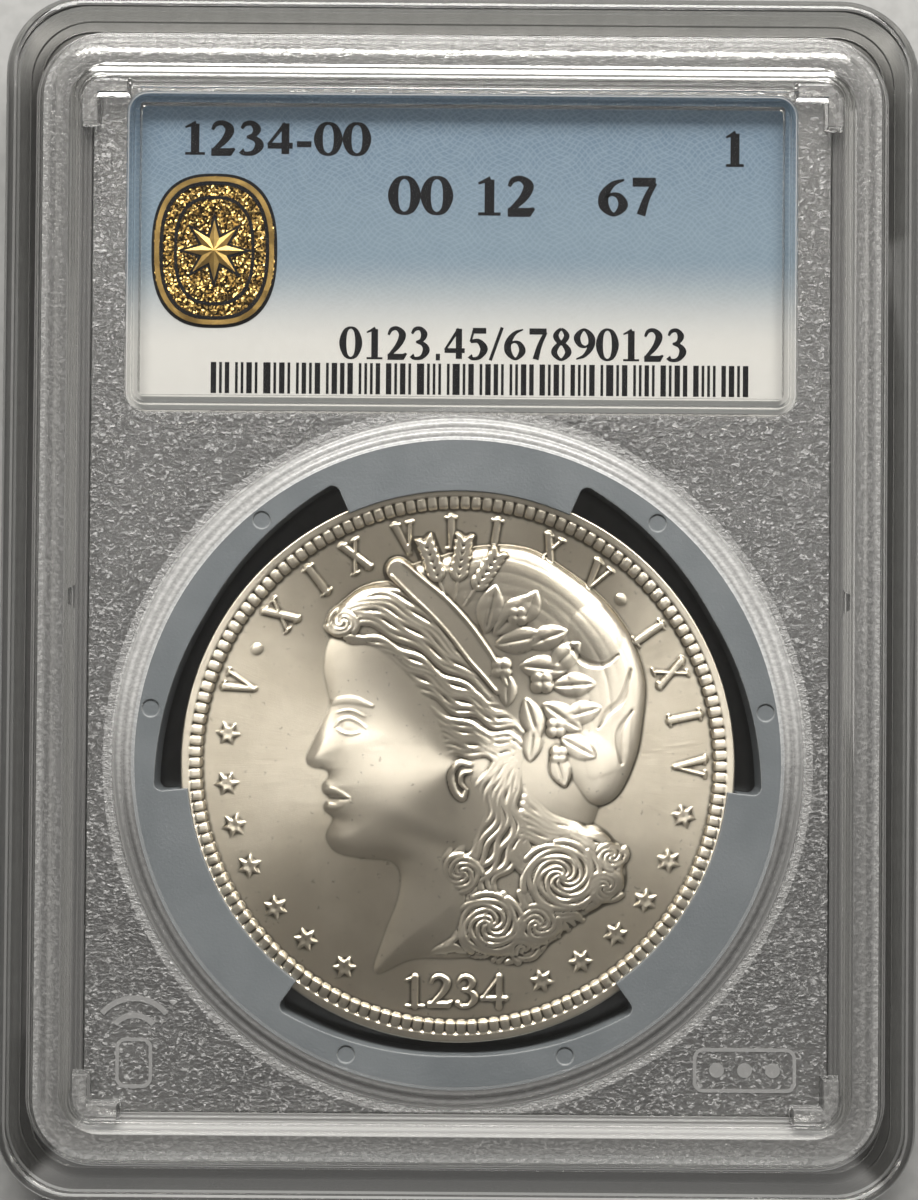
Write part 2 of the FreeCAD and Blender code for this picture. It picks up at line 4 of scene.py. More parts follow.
import bpy
import numpy as np
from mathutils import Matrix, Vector


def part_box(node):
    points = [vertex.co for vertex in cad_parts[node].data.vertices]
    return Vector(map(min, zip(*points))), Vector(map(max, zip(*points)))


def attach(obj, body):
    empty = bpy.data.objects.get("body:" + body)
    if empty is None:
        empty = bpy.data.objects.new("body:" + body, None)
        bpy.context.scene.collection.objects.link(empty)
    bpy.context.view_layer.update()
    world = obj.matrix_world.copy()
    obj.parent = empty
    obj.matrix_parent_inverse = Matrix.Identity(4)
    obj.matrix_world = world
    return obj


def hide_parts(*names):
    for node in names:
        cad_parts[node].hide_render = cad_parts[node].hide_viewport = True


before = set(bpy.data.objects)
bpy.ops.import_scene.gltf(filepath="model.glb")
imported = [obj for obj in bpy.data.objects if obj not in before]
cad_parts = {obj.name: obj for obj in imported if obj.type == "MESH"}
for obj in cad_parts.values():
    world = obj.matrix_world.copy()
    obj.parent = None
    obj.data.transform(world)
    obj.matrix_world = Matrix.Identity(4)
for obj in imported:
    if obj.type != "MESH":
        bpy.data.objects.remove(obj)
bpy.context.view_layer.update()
MM = 0.001
scene = bpy.context.scene


# ---------------------------------------------------------------- shader building


class Graph:
    """A material whose nodes are made by short calls. Numbers and sockets can be mixed freely."""

    def __init__(self, name):
        self.material = bpy.data.materials.new(name)
        self.material.use_nodes = True
        self.tree = self.material.node_tree
        self.tree.nodes.clear()
        self.output = self.tree.nodes.new("ShaderNodeOutputMaterial")

    def put(self, value, socket):
        if isinstance(value, bpy.types.NodeSocket):
            self.tree.links.new(value, socket)
        else:
            socket.default_value = value

    def node(self, kind, inputs=None, **settings):
        node = self.tree.nodes.new(kind)
        for key, value in settings.items():
            setattr(node, key, value)
        for key, value in (inputs or {}).items():
            self.put(value, node.inputs[key])
        return node

    def math(self, operation, a, b=0.0, c=0.0):
        return self.node("ShaderNodeMath", {0: a, 1: b, 2: c}, operation=operation).outputs[0]

    def plus(self, a, b):
        return self.math("ADD", a, b)

    def minus(self, a, b):
        return self.math("SUBTRACT", a, b)

    def times(self, a, b):
        return self.math("MULTIPLY", a, b)

    def larger(self, a, b):
        return self.math("MAXIMUM", a, b)

    def size(self, a):
        return self.math("ABSOLUTE", a)

    def distance(self, dx, dy):
        return self.math("SQRT", self.plus(self.times(dx, dx), self.times(dy, dy)))

    def place(self):
        """The surface point in the row's own frame, as three sockets."""
        point = self.node("ShaderNodeTexCoord").outputs["Object"]
        axes = self.node("ShaderNodeSeparateXYZ", {0: point})
        return point, axes.outputs[0], axes.outputs[1], axes.outputs[2]

    def noise(self, point, scale, detail=2.0, rough=0.5, distortion=0.0):
        inputs = {"Vector": point, "Scale": scale, "Detail": detail, "Roughness": rough,
                  "Distortion": distortion}
        return self.node("ShaderNodeTexNoise", inputs).outputs[0]

    def ramp(self, value, low, high, start=0.0, end=1.0, smooth=True):
        """value taken from low..high to start..end, and held beyond both."""
        node = self.node("ShaderNodeMapRange", {0: value, 1: low, 2: high, 3: start, 4: end})
        node.interpolation_type = "SMOOTHSTEP" if smooth else "LINEAR"
        return node.outputs[0]

    def share(self, value, start, end):
        return self.ramp(value, 0.0, 1.0, start, end, smooth=False)

    def blend(self, share, a, b):
        node = self.node("ShaderNodeMix", data_type="RGBA")
        self.put(share, node.inputs[0])
        self.put(a, node.inputs[6])
        self.put(b, node.inputs[7])
        return node.outputs[2]

    def blend_value(self, share, a, b):
        return self.node("ShaderNodeMix", {0: share, 2: a, 3: b}).outputs[0]

    def bump(self, height, distance, strength=1.0):
        inputs = {"Height": height, "Distance": distance, "Strength": strength}
        return self.node("ShaderNodeBump", inputs).outputs[0]

    def principled(self, **inputs):
        named = {key.replace("_", " "): value for key, value in inputs.items()}
        return self.node("ShaderNodeBsdfPrincipled", named).outputs[0]

    def finish(self, shader):
        self.tree.links.new(shader, self.output.inputs["Surface"])
        return self.material


def rgb(r, g, b):
    return (r, g, b, 1.0)


# ---------------------------------------------------------------- stage


def make_camera():
    """Straight above the slab, with a slight tilt and roll."""
    data = bpy.data.cameras.new("camera")
    data.sensor_width = 36.0
    data.lens = 69.3
    data.clip_start = 0.01
    camera = bpy.data.objects.new("camera", data)
    scene.collection.objects.link(camera)
    distance, tilt, roll = 160 * MM, math.radians(1.1), math.radians(0.45)
    target = Vector((0, 0, 4 * MM))
    camera.rotation_euler = (tilt, 0, roll)
    forward = camera.rotation_euler.to_matrix() @ Vector((0, 0, -1))
    camera.location = target - forward * distance
    scene.camera = camera


WARM = (1.0, 0.98, 0.945)


def make_light(name, place, target, size, power, colour):
    data = bpy.data.lights.new(name, "AREA")
    data.shape = "RECTANGLE"
    data.size, data.size_y = size
    data.energy = power
    data.color = colour
    lamp = bpy.data.objects.new(name, data)
    lamp.location = place
    lamp.rotation_euler = (Vector(target) - Vector(place)).to_track_quat("-Z", "Y").to_euler()
    scene.collection.objects.link(lamp)


def make_floor():
    graph = Graph("floor_paint")
    point, x, y, z = graph.place()
    tone = graph.ramp(graph.noise(point, 900, 3), 0.3, 0.7, 0.38, 0.43)
    colour = graph.node("ShaderNodeCombineColor", {0: tone, 1: tone, 2: graph.times(tone, 0.98)})
    paint = graph.principled(Base_Color=colour.outputs[0], Roughness=0.8)
    mesh = bpy.data.meshes.new("floor")
    half = 3.0
    corners = [(-half, -half, 0), (half, -half, 0), (half, half, 0), (-half, half, 0)]
    mesh.from_pydata(corners, [], [(0, 1, 2, 3)])
    mesh.materials.append(graph.finish(paint))
    floor = bpy.data.objects.new("floor", mesh)
    floor.location.z = -0.02 * MM
    scene.collection.objects.link(floor)


def make_world():
    world = bpy.data.worlds.new("studio")
    world.use_nodes = True
    background = world.node_tree.nodes["Background"]
    background.inputs[0].default_value = (*WARM, 1.0)
    background.inputs[1].default_value = 0.13
    scene.world = world


make_camera()
make_floor()
make_world()
make_light("top_softbox", (0, 0.32, 0.29), (0, 0, 0), (0.40, 0.18), 3.1, WARM)
make_light("left_softbox", (-0.30, -0.02, 0.24), (0, 0, 0), (0.20, 0.60), 0.08, WARM)
make_light("right_softbox", (0.30, 0.06, 0.22), (0, 0, 0), (0.16, 0.60), 0.24, WARM)
scene.view_settings.view_transform = "Standard"
scene.cycles.max_bounces = 10
scene.cycles.transmission_bounces = 9
scene.cycles.glossy_bounces = 4
scene.cycles.diffuse_bounces = 2
scene.cycles.transparent_max_bounces = 10
scene.cycles.caustics_refractive = False
scene.cycles.caustics_reflective = False


# ---------------------------------------------------------------- shells

RIM_RISE = 7.64 * MM
FIELD_RISE = 6.74 * MM
BACK_FIELD = 0.9 * MM
MARK_RISE = 6.82 * MM
LEDGE_RISE = 6.64 * MM
SAME_LEVEL = 0.03 * MM
FIELD_OUTLINE = (25.3 * MM, 34.95 * MM)
DEEP_OUTLINE = (29.9 * MM, 39.5 * MM)
RIM_OUTLINE = (28.5 * MM, 38.0 * MM)
RIM_CORNER = 4.0 * MM
RIM_FOOT = 0.7 * MM
RIM_LINES = 0.31 * MM
SLAB_OUTLINE = (31.5 * MM, 41.5 * MM)
SLAB_CORNER = 5.5 * MM
SLAB_ROUND = 0.75 * MM
LENS_Y = -11.1 * MM
LENS_TOP_REACH = 21.95 * MM
LENS_FOOT_REACH = 23.65 * MM
LENS_MARGIN = 0.5 * MM
LENS_RIDGES = 0.62 * MM
GRAIN_SCALE = (2900, 4600, 1700)
GRAIN_DEPTH = 0.20 * MM
POLYSTYRENE_IOR = 1.55


def at_level(graph, z, level):
    return graph.math("COMPARE", z, level, SAME_LEVEL)


def wave(graph, value, pitch):
    return graph.math("SINE", graph.times(value, 2 * math.pi / pitch))


def past_sides(graph, x, y, half_width, half_length):
    """How far a point is past a rectangle's sides and past its ends. Inside they're negative."""
    return graph.minus(graph.size(x), half_width), graph.minus(graph.size(y), half_length)


def past_outline(graph, x, y, outline, corner):
    """How far a point is outside a rectangle with round corners. Inside it's negative."""
    dx, dy = past_sides(graph, x, y, *[half - corner for half in outline])
    square = graph.plus(graph.math("POWER", graph.larger(dx, 0.0), 2.0),
                        graph.math("POWER", graph.larger(dy, 0.0), 2.0))
    return graph.minus(graph.math("SQRT", square), corner)


def lens_bevel(graph, x, y, z, facing_top_lamp):
    """The turned band around the lens: a mask, its fine concentric ridges as a height, and its frosting, which
    is heavier where the band faces +y, towards the top lamp, as a painted highlight.
    """
    reach = graph.distance(x, graph.minus(y, LENS_Y))
    inside = graph.math("COMPARE", reach, (LENS_TOP_REACH + LENS_FOOT_REACH) / 2,
                        (LENS_FOOT_REACH - LENS_TOP_REACH) / 2 + 0.02 * MM)
    above = graph.math("GREATER_THAN", z, FIELD_RISE - 0.1 * MM)
    mask = graph.times(inside, above)
    ridges = wave(graph, reach, LENS_RIDGES)
    # Painted highlight: the whitish haze is heavier on the bevel faces that turn towards the top lamp.
    frost_and_painted_highlight = graph.times(graph.ramp(facing_top_lamp, -0.06, 0.07, 0.24, 0.66), graph.ramp(ridges, -1, 1, 0.72, 1.0))
    margin = graph.math("COMPARE", reach, LENS_FOOT_REACH + LENS_MARGIN / 2, LENS_MARGIN / 2)
    margin = graph.times(graph.times(margin, above), 0.34)
    return mask, graph.times(graph.times(ridges, 0.22), mask), graph.larger(graph.times(mask, frost_and_painted_highlight), margin)


def stepped_edge(graph, x, y, z):
    """A mask for the recess's walls, its ledge and the lugs, between the field and the rim."""
    beyond = graph.larger(*past_sides(graph, x, y, *FIELD_OUTLINE))
    high = graph.math("GREATER_THAN", z, LEDGE_RISE - 0.05 * MM)
    edge = graph.times(graph.math("GREATER_THAN", beyond, 0.0), high)
    return graph.times(edge, graph.minus(1.0, at_level(graph, z, RIM_RISE)))


def lower_end(graph, x, y):
    """1 along the slab's lower end and 0 along its sides and its top, with a mitre at each corner."""
    dx, dy = past_sides(graph, x, y, *RIM_OUTLINE)
    below = graph.ramp(y, -34.0 * MM, -35.2 * MM)
    return graph.times(below, graph.ramp(graph.minus(dy, dx), 0.0, 0.6 * RIM_CORNER))


def clear_plastic(name, levels, is_front):
    """Clear polystyrene. The flat faces at the given levels carry a fine spark-eroded grain, the first less."""
    graph = Graph(name)
    point, x, y, z = graph.place()
    first, second = (at_level(graph, z, level) for level in levels)
    grain = graph.larger(first, second)
    stretched = graph.node("ShaderNodeMapping", {"Vector": point, "Scale": GRAIN_SCALE}).outputs[0]
    relief = graph.noise(stretched, 1.0, 2.0, 0.55, 0.6)
    height = graph.times(graph.times(relief, grain), graph.share(first, 1.0, 0.2))
    rough = graph.minus(graph.share(grain, 0.03, 0.24), graph.times(first, 0.09))
    loose, tight = graph.ramp(relief, 0.53, 0.68, 0.08, 0.39), graph.ramp(relief, 0.45, 0.70, 0.13, 0.25)
    haze = graph.blend_value(first, loose, tight)
    haze = graph.times(grain, haze)
    # Painted shade: the tint darkens over the slab's outer band, past the deep outline, though the plastic
    # there is the same clear colour.
    out = graph.larger(*past_sides(graph, x, y, *DEEP_OUTLINE))
    tint_and_painted_shade = graph.blend(graph.ramp(out, -0.4 * MM, 0.6 * MM), rgb(0.89, 0.885, 0.87), rgb(0.72, 0.72, 0.71))
    if is_front:
        normal = graph.node("ShaderNodeNewGeometry").outputs["Normal"]
        normal_x, normal_y, normal_z = graph.node("ShaderNodeSeparateXYZ", {0: normal}).outputs[:3]
        turned, ridges, frost_and_painted_highlight = lens_bevel(graph, x, y, z, normal_y)
        rough = graph.plus(rough, graph.times(turned, 0.13))
        edge = stepped_edge(graph, x, y, z)
        past_rim = past_outline(graph, x, y, RIM_OUTLINE, RIM_CORNER)
        past_slab = past_outline(graph, x, y, SLAB_OUTLINE, SLAB_CORNER)
        slope = graph.times(graph.math("COMPARE", past_rim, RIM_FOOT / 2, 0.4 * MM),
                            graph.math("LESS_THAN", z, RIM_RISE - SAME_LEVEL))
        lines = wave(graph, past_rim, RIM_LINES)
        drawn = graph.times(lines, graph.times(graph.larger(edge, slope), 0.12))
        height = graph.plus(graph.plus(height, ridges), drawn)
        # The lower end, where the haze below is raised as a painted highlight.
        foot = lower_end(graph, x, y)
        line = graph.ramp(lines, -1, 1, 0.7, 1.0)
        uneven = graph.ramp(relief, 0.35, 0.65, 0.75, 1.0)
        haze = graph.larger(haze, graph.times(frost_and_painted_highlight, uneven))
        # Each hazy place and how hazy it is. Along the slab's lower end the haze is raised, a painted highlight
        # for the bright lines there.
        haze_and_painted_highlight = (
            (edge, graph.times(graph.share(foot, 0.13, 0.40), line)),
            (slope, graph.times(graph.share(foot, 0.17, 0.66), line)),
            (graph.times(graph.math("COMPARE", past_rim, -0.17 * MM, 0.15 * MM), first),
             graph.ramp(relief, 0.40, 0.60, 0.13, 0.30)),
            (graph.math("GREATER_THAN", past_rim, RIM_FOOT), graph.ramp(foot, 0.0, 1.0, 0.0, 0.12)),
            (graph.math("GREATER_THAN", past_slab, -SLAB_ROUND), graph.ramp(foot, 0.0, 1.0, 0.03, 0.12)),
            (graph.math("COMPARE", past_slab, -SLAB_ROUND, 0.09 * MM), graph.ramp(foot, 0.0, 1.0, 0.18, 0.75)),
            (graph.math("GREATER_THAN", z, RIM_RISE + 2 * SAME_LEVEL),
         graph.ramp(relief, 0.35, 0.65, 0.16, 0.30)),
            (at_level(graph, z, MARK_RISE), 0.29),
        )
        for mask, share in haze_and_painted_highlight:
            haze = graph.larger(haze, graph.times(mask, share))
        # Painted shade: walls of the stepped edge that face sideways get a darker tint.
        side = graph.times(graph.ramp(graph.size(normal_x), 0.3, 0.7), edge)
        tint_and_painted_shade = graph.blend(side, tint_and_painted_shade, rgb(0.48, 0.48, 0.47))
    plastic = graph.principled(
        Base_Color=tint_and_painted_shade, Roughness=rough, IOR=POLYSTYRENE_IOR, Transmission_Weight=graph.minus(1.0, haze),
        Normal=graph.bump(height, GRAIN_DEPTH, 1.0),
    )
    if not is_front:
        return graph.finish(plastic)
    # Lamps reach the inside through the front's flat faces, and less through its upright walls.
    ray = graph.node("ShaderNodeLightPath").outputs["Is Shadow Ray"]
    upright = graph.ramp(graph.size(normal_z), 0.2, 0.8)
    passed = graph.blend(upright, rgb(0.30, 0.31, 0.32), rgb(0.98, 0.985, 0.99))
    clear = graph.node("ShaderNodeBsdfTransparent", {"Color": passed}).outputs[0]
    return graph.finish(graph.node("ShaderNodeMixShader", {0: ray, 1: plastic, 2: clear}).outputs[0])




# ---------------------------------------------------------------- drawing in plane figures


def spline(points, steps=8, closed=False):
    """A smooth curve through the rows of points (Catmull-Rom). Every column is carried along."""
    p = np.array(points, float)
    p = np.vstack([p[-1:], p, p[:2]]) if closed else np.vstack([2 * p[0] - p[1], p, 2 * p[-1] - p[-2]])
    t = (np.arange(steps) / steps)[:, None]
    pieces = []
    for a, b, c, d in zip(p, p[1:], p[2:], p[3:]):
        pieces.append(0.5 * (2 * b + (c - a) * t + (2 * a - 5 * b + 4 * c - d) * t ** 2
                             + (3 * b - a - 3 * c + d) * t ** 3))
    if not closed:
        pieces.append(p[-2:-1])
    return np.vstack(pieces)


def rows(*points):
    return np.array(points, float)


def curve(*points):
    return spline(points)


def loop(*points):
    ring = spline(points, closed=True)
    return np.vstack([ring, ring[:1]])


def bar(x0, y0, x1, y1, width):
    return rows((x0, y0, width), (x1, y1, width))


# Figures in a serif style. A stroke's rows are x, y and width, for a figure one unit high.
FIGURES = {
    "0": [loop((0.27, 0.98, 0.05), (0.14, 0.86, 0.1), (0.08, 0.5, 0.15), (0.14, 0.14, 0.1),
          (0.27, 0.02, 0.05), (0.4, 0.14, 0.1), (0.46, 0.5, 0.15), (0.4, 0.86, 0.1))],
    "1": [bar(0.29, 0.03, 0.29, 0.94, 0.14), rows((0.1, 0.83, 0.03), (0.31, 0.96, 0.08)),
          bar(0.1, 0.02, 0.48, 0.02, 0.045)],
    "2": [curve((0.07, 0.76, 0.05), (0.14, 0.93, 0.08), (0.28, 0.96, 0.09), (0.4, 0.77, 0.15),
          (0.31, 0.45, 0.12), (0.07, 0.08, 0.06)), rows((0.05, 0.07, 0.13), (0.42, 0.07, 0.13),
          (0.5, 0.18, 0.04))],
    "3": [curve((0.08, 0.8, 0.05), (0.15, 0.94, 0.08), (0.28, 0.96, 0.09), (0.37, 0.79, 0.14),
          (0.31, 0.6, 0.09), (0.18, 0.53, 0.05)), curve((0.18, 0.55, 0.05), (0.35, 0.47, 0.1),
          (0.42, 0.28, 0.15), (0.31, 0.06, 0.09), (0.14, 0.03, 0.07), (0.07, 0.12, 0.11))],
    "4": [bar(0.37, 0.02, 0.37, 0.97, 0.13), rows((0.37, 0.97, 0.07), (0.04, 0.3, 0.05)),
          bar(0.03, 0.28, 0.51, 0.28, 0.1)],
    "5": [bar(0.15, 0.91, 0.47, 0.91, 0.12), bar(0.17, 0.92, 0.1, 0.56, 0.05), curve((0.1, 0.57, 0.07),
          (0.29, 0.58, 0.1), (0.42, 0.34, 0.16), (0.31, 0.08, 0.09), (0.15, 0.03, 0.07), (0.08, 0.12, 0.11))],
    "6": [curve((0.46, 0.96, 0.03), (0.26, 0.84, 0.08), (0.11, 0.55, 0.14), (0.11, 0.25, 0.14),
          (0.28, 0.03, 0.06), (0.44, 0.26, 0.14), (0.38, 0.5, 0.1), (0.25, 0.57, 0.05), (0.13, 0.48, 0.05))],
    "7": [bar(0.06, 0.9, 0.47, 0.9, 0.13), curve((0.45, 0.88, 0.08), (0.31, 0.48, 0.1), (0.21, 0.02, 0.13))],
    "8": [loop((0.27, 0.98, 0.06), (0.14, 0.77, 0.12), (0.27, 0.54, 0.1), (0.4, 0.77, 0.12)),
          loop((0.27, 0.54, 0.08), (0.1, 0.26, 0.13), (0.27, 0.02, 0.06), (0.44, 0.26, 0.14))],
    "9": [curve((0.08, 0.04, 0.03), (0.28, 0.16, 0.08), (0.43, 0.45, 0.14), (0.43, 0.75, 0.14),
          (0.26, 0.97, 0.06), (0.1, 0.74, 0.14), (0.16, 0.5, 0.1), (0.29, 0.43, 0.05), (0.41, 0.52, 0.05))],
    "I": [bar(0.2, 0.02, 0.2, 0.98, 0.15), bar(0.03, 0.02, 0.37, 0.02, 0.05),
          bar(0.03, 0.98, 0.37, 0.98, 0.05)],
    "V": [rows((0.09, 0.97, 0.15), (0.34, 0.03, 0.1)), bar(0.34, 0.03, 0.58, 0.97, 0.06),
          bar(-0.02, 0.98, 0.24, 0.98, 0.05), bar(0.46, 0.98, 0.68, 0.98, 0.05)],
    "X": [bar(0.1, 0.98, 0.58, 0.02, 0.15), bar(0.56, 0.98, 0.1, 0.02, 0.06),
          bar(0.0, 0.98, 0.24, 0.98, 0.05), bar(0.46, 0.98, 0.66, 0.98, 0.05),
          bar(0.0, 0.02, 0.22, 0.02, 0.05), bar(0.46, 0.02, 0.68, 0.02, 0.05)],
    "-": [bar(0.04, 0.33, 0.32, 0.33, 0.1)],
    ".": [bar(0.1, 0.07, 0.2, 0.07, 0.14)],
    "/": [bar(0.02, -0.02, 0.3, 1.02, 0.07)],
}
ADVANCE = {"I": 0.42, "V": 0.7, "X": 0.72, "-": 0.37, ".": 0.28, "/": 0.34, " ": 0.32}
FIGURE_ADVANCE = 0.55


def figure_strokes(text, weight=1.0):
    """The strokes of a line of figures, one unit high, starting at x = 0, and the line's length."""
    strokes, pen = [], 0.0
    for mark in text:
        strokes += [line * (1, 1, weight) + (pen, 0, 0) for line in FIGURES.get(mark, ())]
        pen += ADVANCE.get(mark, FIGURE_ADVANCE)
    return strokes, pen


# ---------------------------------------------------------------- coin relief

COIN_LOW, COIN_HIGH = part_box("coin")
COIN_MIDDLE = [(a + b) / 2 for a, b in zip(COIN_LOW, COIN_HIGH)]
COIN_RADIUS = (COIN_HIGH[0] - COIN_LOW[0]) / 2 / MM
COIN_HALF = (COIN_HIGH[2] - COIN_LOW[2]) / 2 / MM
COIN_TOP = COIN_HIGH[2]
RASTER_PITCH = 0.045
RASTER_HALF = 19.2


class Relief:
    """A height map of one side of the coin, in millimetres above its field, x to the right and y up."""

    def __init__(self):
        self.axis = np.arange(-RASTER_HALF, RASTER_HALF + RASTER_PITCH / 2, RASTER_PITCH)
        self.x, self.y = np.meshgrid(self.axis, self.axis)
        self.h = np.zeros_like(self.x)
        self.r = np.hypot(self.x, self.y)

    def window(self, points, reach):
        low = np.searchsorted(self.axis, np.min(points, axis=0)[:2] - reach)
        high = np.searchsorted(self.axis, np.max(points, axis=0)[:2] + reach)
        return slice(low[1], high[1]), slice(low[0], high[0])

    def along(self, line, reach):
        """Distance to a polyline over its own width, within its window. Columns are x, y and width."""
        part = self.window(line, reach)
        x, y = self.x[part], self.y[part]
        best = np.full(x.shape, 9.0)
        for (ax, ay, aw), (bx, by, bw) in zip(line, line[1:]):
            dx, dy = bx - ax, by - ay
            t = np.clip(((x - ax) * dx + (y - ay) * dy) / (dx * dx + dy * dy + 1e-9), 0, 1)
            far = np.hypot(x - ax - t * dx, y - ay - t * dy) / (0.5 * (aw + (bw - aw) * t) + 1e-6)
            best = np.minimum(best, far)
        return part, best

    def tubes(self, lines, rise):
        """Raised round strands. Where two cross, the higher one shows."""
        layer = np.zeros_like(self.h)
        for line in lines:
            part, near = self.along(line, line[:, 2].max())
            layer[part] = np.maximum(layer[part], rise * np.sqrt(np.clip(1 - near ** 2, 0, 1)))
        return layer

    def plates(self, lines, rise, edge=0.45):
        """Raised flat strokes with sloping sides."""
        layer = np.zeros_like(self.h)
        for line in lines:
            part, near = self.along(line, line[:, 2].max())
            layer[part] = np.maximum(layer[part], rise * np.clip((1.15 - near) / edge, 0, 1))
        return layer

    def inside(self, outline):
        """Depth inside a closed outline, in millimetres: 0 at its edge and outside."""
        step = 2
        x, y = self.x[::step, ::step], self.y[::step, ::step]
        best, odd = np.full(x.shape, 99.0), np.zeros(x.shape, bool)
        for (ax, ay), (bx, by) in zip(outline, np.roll(outline, -1, axis=0)):
            dx, dy = bx - ax, by - ay
            t = np.clip(((x - ax) * dx + (y - ay) * dy) / (dx * dx + dy * dy + 1e-9), 0, 1)
            best = np.minimum(best, np.hypot(x - ax - t * dx, y - ay - t * dy))
            if ay != by:
                odd ^= ((ay > y) != (by > y)) & (x < ax + (y - ay) * dx / dy)
        signed = np.where(odd, best, -best)
        fine = np.repeat(np.repeat(signed, step, 0), step, 1)[: self.h.shape[0], : self.h.shape[1]]
        return np.clip(blurred(fine, 2), 0, None)

    def bump(self, x, y, wide, tall, rise, turn=0.0):
        """A soft swelling, or with a negative rise a hollow."""
        c, s = math.cos(math.radians(turn)), math.sin(math.radians(turn))
        u = ((self.x - x) * c + (self.y - y) * s) / wide
        v = ((self.y - y) * c - (self.x - x) * s) / tall
        return rise * np.exp(-u * u - v * v)

    def ball(self, x, y, radius):
        """The top of a ball, one high."""
        return np.sqrt(np.clip(1 - ((self.x - x) ** 2 + (self.y - y) ** 2) / radius ** 2, 0, 1))

    def leaf(self, x, y, turn, length, width, rise):
        """A pointed leaf from its stem at x, y, with a groove down its middle."""
        c, s = math.cos(math.radians(turn)), math.sin(math.radians(turn))
        part = self.window(np.array([[x, y, 0]]), length * 1.1)
        u = ((self.x[part] - x) * c + (self.y[part] - y) * s) / length
        v = np.abs((self.y[part] - y) * c - (self.x[part] - x) * s)
        half = width * np.sin(np.pi * np.clip(u, 0, 1)) ** 0.8 + 1e-6
        body = np.sqrt(np.clip(1 - (v / half) ** 2, 0, 1))
        layer = np.zeros_like(self.h)
        layer[part] = rise * body * (1 - 0.45 * np.exp(-(v / (0.16 * width)) ** 2)) * (u > 0) * (u < 1)
        return layer

    def star(self, x, y, size, rise, turn):
        """A six-pointed star with a flat top, dished in its middle."""
        part = self.window(np.array([[x, y, 0]]), size)
        dx, dy = self.x[part] - x, self.y[part] - y
        angle = np.arctan2(dy, dx) - math.radians(turn)
        sector = np.abs((angle + math.pi / 6) % (math.pi / 3) - math.pi / 6)
        tip, notch = 1.0, 0.52
        ix, iy = notch * math.cos(math.pi / 6), notch * math.sin(math.pi / 6)
        nx, ny = iy, tip - ix
        radius = np.hypot(dx, dy) / size
        share = (radius * np.cos(sector) * nx + radius * np.sin(sector) * ny) / (tip * nx)
        layer = np.zeros_like(self.h)
        dish = 1 - 0.35 * np.clip(1 - radius / 0.42, 0, 1)
        layer[part] = rise * np.clip(3.4 * (1 - share), 0, 1) * dish
        return layer


def on_circle(reach, turn):
    return reach * math.cos(math.radians(turn)), reach * math.sin(math.radians(turn))


def blurred(field, reach):
    """A box blur, twice, over 2 * reach + 1 cells."""
    for _ in range(2):
        for axis in (0, 1):
            padded = np.pad(field, [(reach + 1, reach) if a == axis else (0, 0) for a in (0, 1)], mode="edge")
            total = np.cumsum(padded, axis=axis)
            size = field.shape[axis]
            upper = np.take(total, range(2 * reach + 1, size + 2 * reach + 1), axis=axis)
            lower = np.take(total, range(0, size), axis=axis)
            field = (upper - lower) / (2 * reach + 1)
    return field


def placed(strokes, x, y, size, turn, middle=0.0, stretch=1.0):
    """Strokes scaled to a size, turned about their own foot and moved to x, y."""
    c, s = math.cos(math.radians(turn)), math.sin(math.radians(turn))
    moved = []
    for line in strokes:
        u, v = (line[:, 0] - middle) * size * stretch, line[:, 1] * size
        moved.append(np.column_stack([x + u * c - v * s, y + u * s + v * c, line[:, 2] * size]))
    return moved


def locks(first, last, count, width, wave, waves, phase=0.0, taper=0.35):
    """Strands of hair spread evenly between two guide curves, each with a gentle wave."""
    a, b = spline(first, 9), spline(last, 9)
    size = min(len(a), len(b))
    a, b = (guide[np.linspace(0, len(guide) - 1, size).astype(int)] for guide in (a, b))
    along = np.linspace(0, 1, size)
    strands = []
    for k in range(count):
        share = (k + 0.5) / count
        middle = a + (b - a) * share
        run = np.gradient(middle, axis=0)
        across = np.column_stack([-run[:, 1], run[:, 0]])
        across /= np.linalg.norm(across, axis=1)[:, None] + 1e-9
        swing = wave * np.sin(2 * np.pi * (waves * along + phase + 0.16 * math.sin(2.4 * k))) * (0.3 + along)
        gap = np.linalg.norm(b - a, axis=1) / count
        wide = np.minimum(width * (1 - taper * along), 0.3 + gap)
        strands.append(np.column_stack([middle + across * swing[:, None], wide]))
    return strands


def curl(x, y, radius, strands, turns, start, hand, width=0.5):
    """One curl: strands that start evenly round it and wind in to its middle together."""
    t = np.linspace(0, 1, 48)
    lines = []
    for k in range(strands):
        angle = np.radians(start + 360 * k / strands) + hand * 2 * np.pi * turns * t ** 0.9
        reach = radius * (1 - t) ** 0.85 * (1 + 0.05 * np.sin(18 * t + k)) + 0.1
        lines.append(np.column_stack([x + reach * np.cos(angle), y + 0.9 * reach * np.sin(angle),
                                      width * (1 - 0.5 * t)]))
    return lines


# ---------------------------------------------------------------- the two sides of the coin

STAR_ANGLES = (172.8, 185.2, 195.7, 206.5, 218.6, 229.5, 241.2, 291.7, 302.4, 313.4, 324.4, 335.8, 347.5)
NUMERALS = ((160.4, "V"), (140.5, "X"), (128.0, "I"), (116.8, "X"), (103.6, "V"), (92.2, "I"), (81.3, "I"),
            (67.2, "X"), (54.1, "V"), (35.1, "I"), (23.8, "X"), (12.3, "I"), (0.0, "V"))
DOT_ANGLES = (150.6, 45.8)
DOT_RADIUS = 0.4
LEGEND_REACH = 15.9
SIGN_RISE = 0.34

